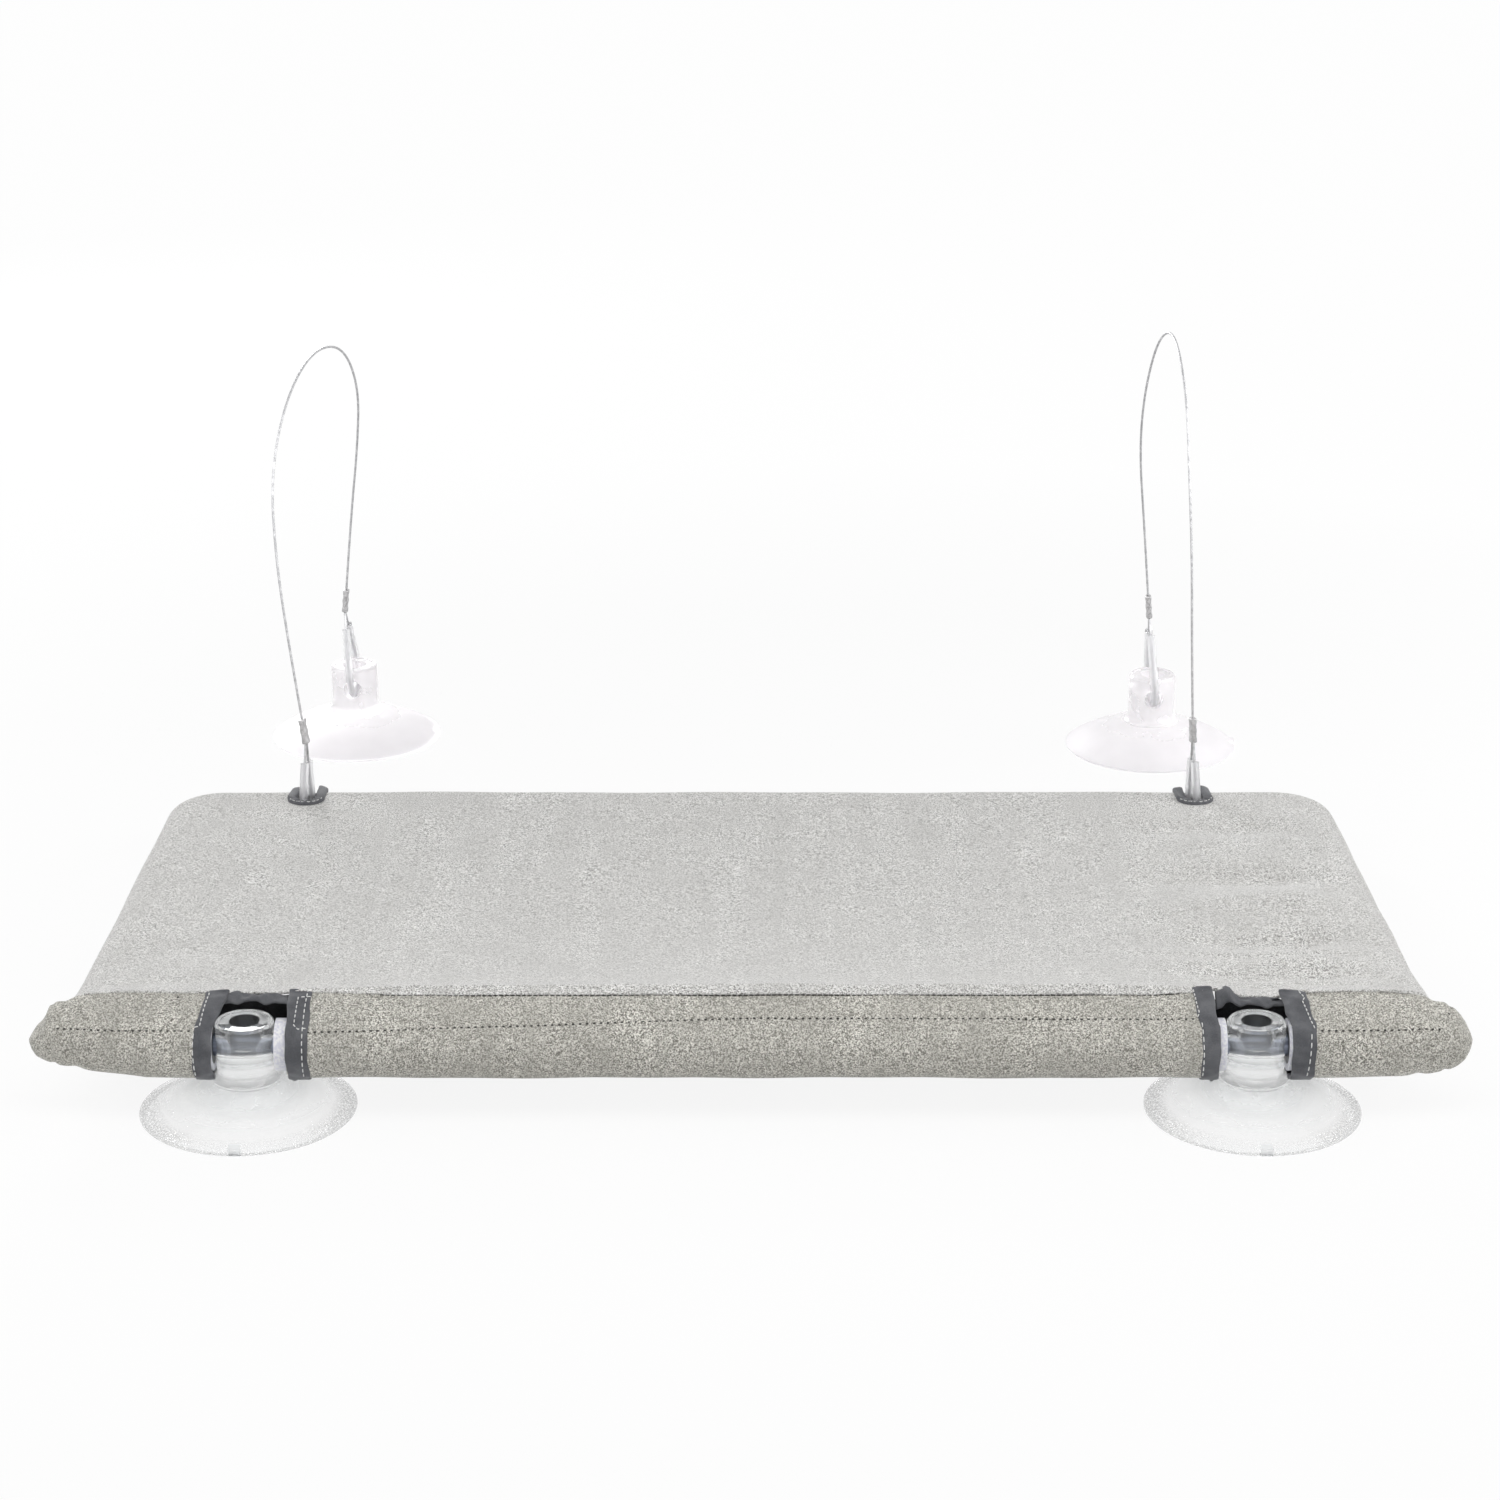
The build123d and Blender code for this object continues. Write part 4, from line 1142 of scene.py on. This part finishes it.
def vinyl(name, centre, clearness, hole_shade, frost, haze, thin, tints):
    """Clear vinyl about a cup's middle: frosted below the hub, pebbled where the dome is lowest, and
    with painted shade, near black, within the upright hole by a share, less so at its waist, where the side
    hole crosses it.
    Most light passes through to the floor, and thin says how much of the dome the eye sees through."""
    material, shader, place = surface_of(name, {
        "Transmission Weight": clearness, "IOR": 1.3, "Coat Roughness": 0.06,
    })
    tree = material.node_tree
    centred = {"Vector": place, "Location": (-centre[0], -centre[1], 0.0)}
    across, deep, height = place.node("Mapping", {}, centred).coordinates()
    from_middle = (across * across + deep * deep) ** 0.5
    low = 1.0 - height.between(*dome_heights)
    near_rim = 1.0 - height.between(*rim_heights)
    on_tab = (1.0 - deep.between(*tab_starts)) * (1.0 - (across * across).between(*tab_half_widths_squared))
    # Painted shade inside the upright hole, lifted at the waist where the side hole crosses it.
    in_hole = (1.0 - from_middle.between(*hole_radii)) * height.between(*hole_heights)
    waist = (height - side_hole_height) * waist_sharpness
    in_hole = in_hole * (1.0 - (waist * waist + 1.0) ** -1.0 * waist_lightness)
    cloud = place.spots(90.0, 3.0).between(0.3, 0.75)
    pebbles = place.spots(1250.0, 1.0)
    stipple = near_rim * pebbles.between(0.35, 0.6) * pebble_share
    clear = cloud.ramp((0.0, tints[0]), (1.0, tints[1]))
    feed(shader, {
        "Base Color": clear.mix(stipple, pebble_tint).mix(in_hole * hole_shade, hole_shade_colour),
        "Roughness": low * frost + cloud * 0.08 + haze,
        "Coat Weight": (1.0 - low) * 0.5,
        "Normal": bump(pebbles * near_rim, 0.25, 0.0004),
    })
    passing = place.node("BsdfTransparent", {}, {"Color": (0.97, 0.97, 0.97, 1)})
    shadow_ray = Shade(tree, tree.nodes.new("ShaderNodeLightPath").outputs["Is Shadow Ray"])
    seen_through = low * (1.0 - on_tab) * (1.0 - stipple) * thin
    passed = shadow_ray.maths("MAXIMUM", shadow_ray * shadow_passing, seen_through)
    mixed = place.node("MixShader", {}, {0: passed, 1: Shade(tree, shader.outputs[0]), 2: passing})
    tree.links.new(mixed.link, tree.nodes["Material Output"].inputs["Surface"])
    return material


for side in cables:
    for level, look in cup_looks.items():
        low_corner, high_corner = (np.array(corner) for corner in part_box(f"{level}_cup_{side}"))
        material = vinyl(f"clear_vinyl_{level}_{side}", (low_corner + high_corner) / 2, **look)
        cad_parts[f"{level}_cup_{side}"].material_slots[0].material = material


# White paper floor and a white studio: the floor glows towards the camera and keeps a soft shadow.
# One softbox hangs ahead of the perch and one stands on each side, so that the lying surface is
# lightest near the window and over its side rails. One behind draws the far edges, one in front fills.
floor_reach = 8.0
floor_drop = 0.0003
floor_glow = (0.9, 0.985)
glow_reach = (0.45, 0.8)
studio_fill = 0.2

floor_mesh = bpy.data.meshes.new("floor")
corners = np.array(((-1, -1, 0), (1, -1, 0), (1, 1, 0), (-1, 1, 0))) * floor_reach - (0, 0, floor_drop)
floor_mesh.from_pydata(corners.tolist(), [], [(0, 1, 2, 3)])
floor = bpy.data.objects.new("floor", floor_mesh)
bpy.context.scene.collection.objects.link(floor)
paper, paper_shader, place = surface_of("white_paper", {"Specular IOR Level": 0.0, "Roughness": 1.0})
paper_tone = place.spots(3.0, 2.0).ramp((0.3, (0.86, 0.86, 0.86)), (0.7, (0.88, 0.88, 0.88)))
feed(paper_shader, {"Base Color": paper_tone})


def looked_at(tree):
    """One for a ray from the camera or sent on by metal or glass, and nought for any other."""
    rays = tree.nodes.new("ShaderNodeLightPath")
    kinds = ("Camera", "Glossy", "Transmission")
    return sum(Shade(tree, rays.outputs[f"Is {kind} Ray"]) for kind in kinds).between(0.0, 1.0)


tree = paper.node_tree
across, deep, _ = place.coordinates()
away = ((across * across + deep * deep) ** 0.5).between(*glow_reach)
glow_share = away * (floor_glow[1] - floor_glow[0]) + floor_glow[0]
glow = place.node("Emission", {}, {"Strength": 1.0})
lit = Shade(tree, paper_shader.outputs[0])
mixed = place.node("MixShader", {}, {0: looked_at(tree) * glow_share, 1: lit, 2: glow})
tree.links.new(mixed.link, tree.nodes["Material Output"].inputs["Surface"])
floor.data.materials.append(paper)

world = bpy.data.worlds.new("studio")
bpy.context.scene.world = world
world.use_nodes = True
tree = world.node_tree
background = tree.nodes["Background"]
background.inputs["Color"].default_value = (1, 1, 1, 1)
strength = looked_at(tree) * (1 - studio_fill) + studio_fill
tree.links.new(strength.link, background.inputs["Strength"])

lamps = {
    "top_softbox": ((0.0, -0.38, 0.56), (18.0, 0.0, 0.0), (1.2, 0.3), 3.1),
    "left_softbox": ((-0.78, 0.1, 0.36), (0.0, -66.0, 0.0), (0.4, 0.6), 1.5),
    "right_softbox": ((0.78, 0.1, 0.36), (0.0, 66.0, 0.0), (0.4, 0.6), 2.9),
    "back_softbox": ((-0.6, 1.3, 0.55), (-67.0, 0.0, 23.0), (0.5, 0.4), 9.5),
    "front_fill": ((-0.1, -2.2, 0.25), (86.0, -3.0, 0.0), (2.2, 0.5), 9.0),
}
for name, (stand, turns, size, power) in lamps.items():
    lamp_data = bpy.data.lights.new(name, "AREA")
    lamp_data.shape = "RECTANGLE"
    lamp_data.size, lamp_data.size_y = size
    lamp_data.energy = power
    lamp = bpy.data.objects.new(name, lamp_data)
    lamp.location = stand
    lamp.rotation_euler = [radians(turn) for turn in turns]
    lamp.visible_camera = False
    bpy.context.scene.collection.objects.link(lamp)

bpy.context.scene.view_settings.view_transform = "Standard"
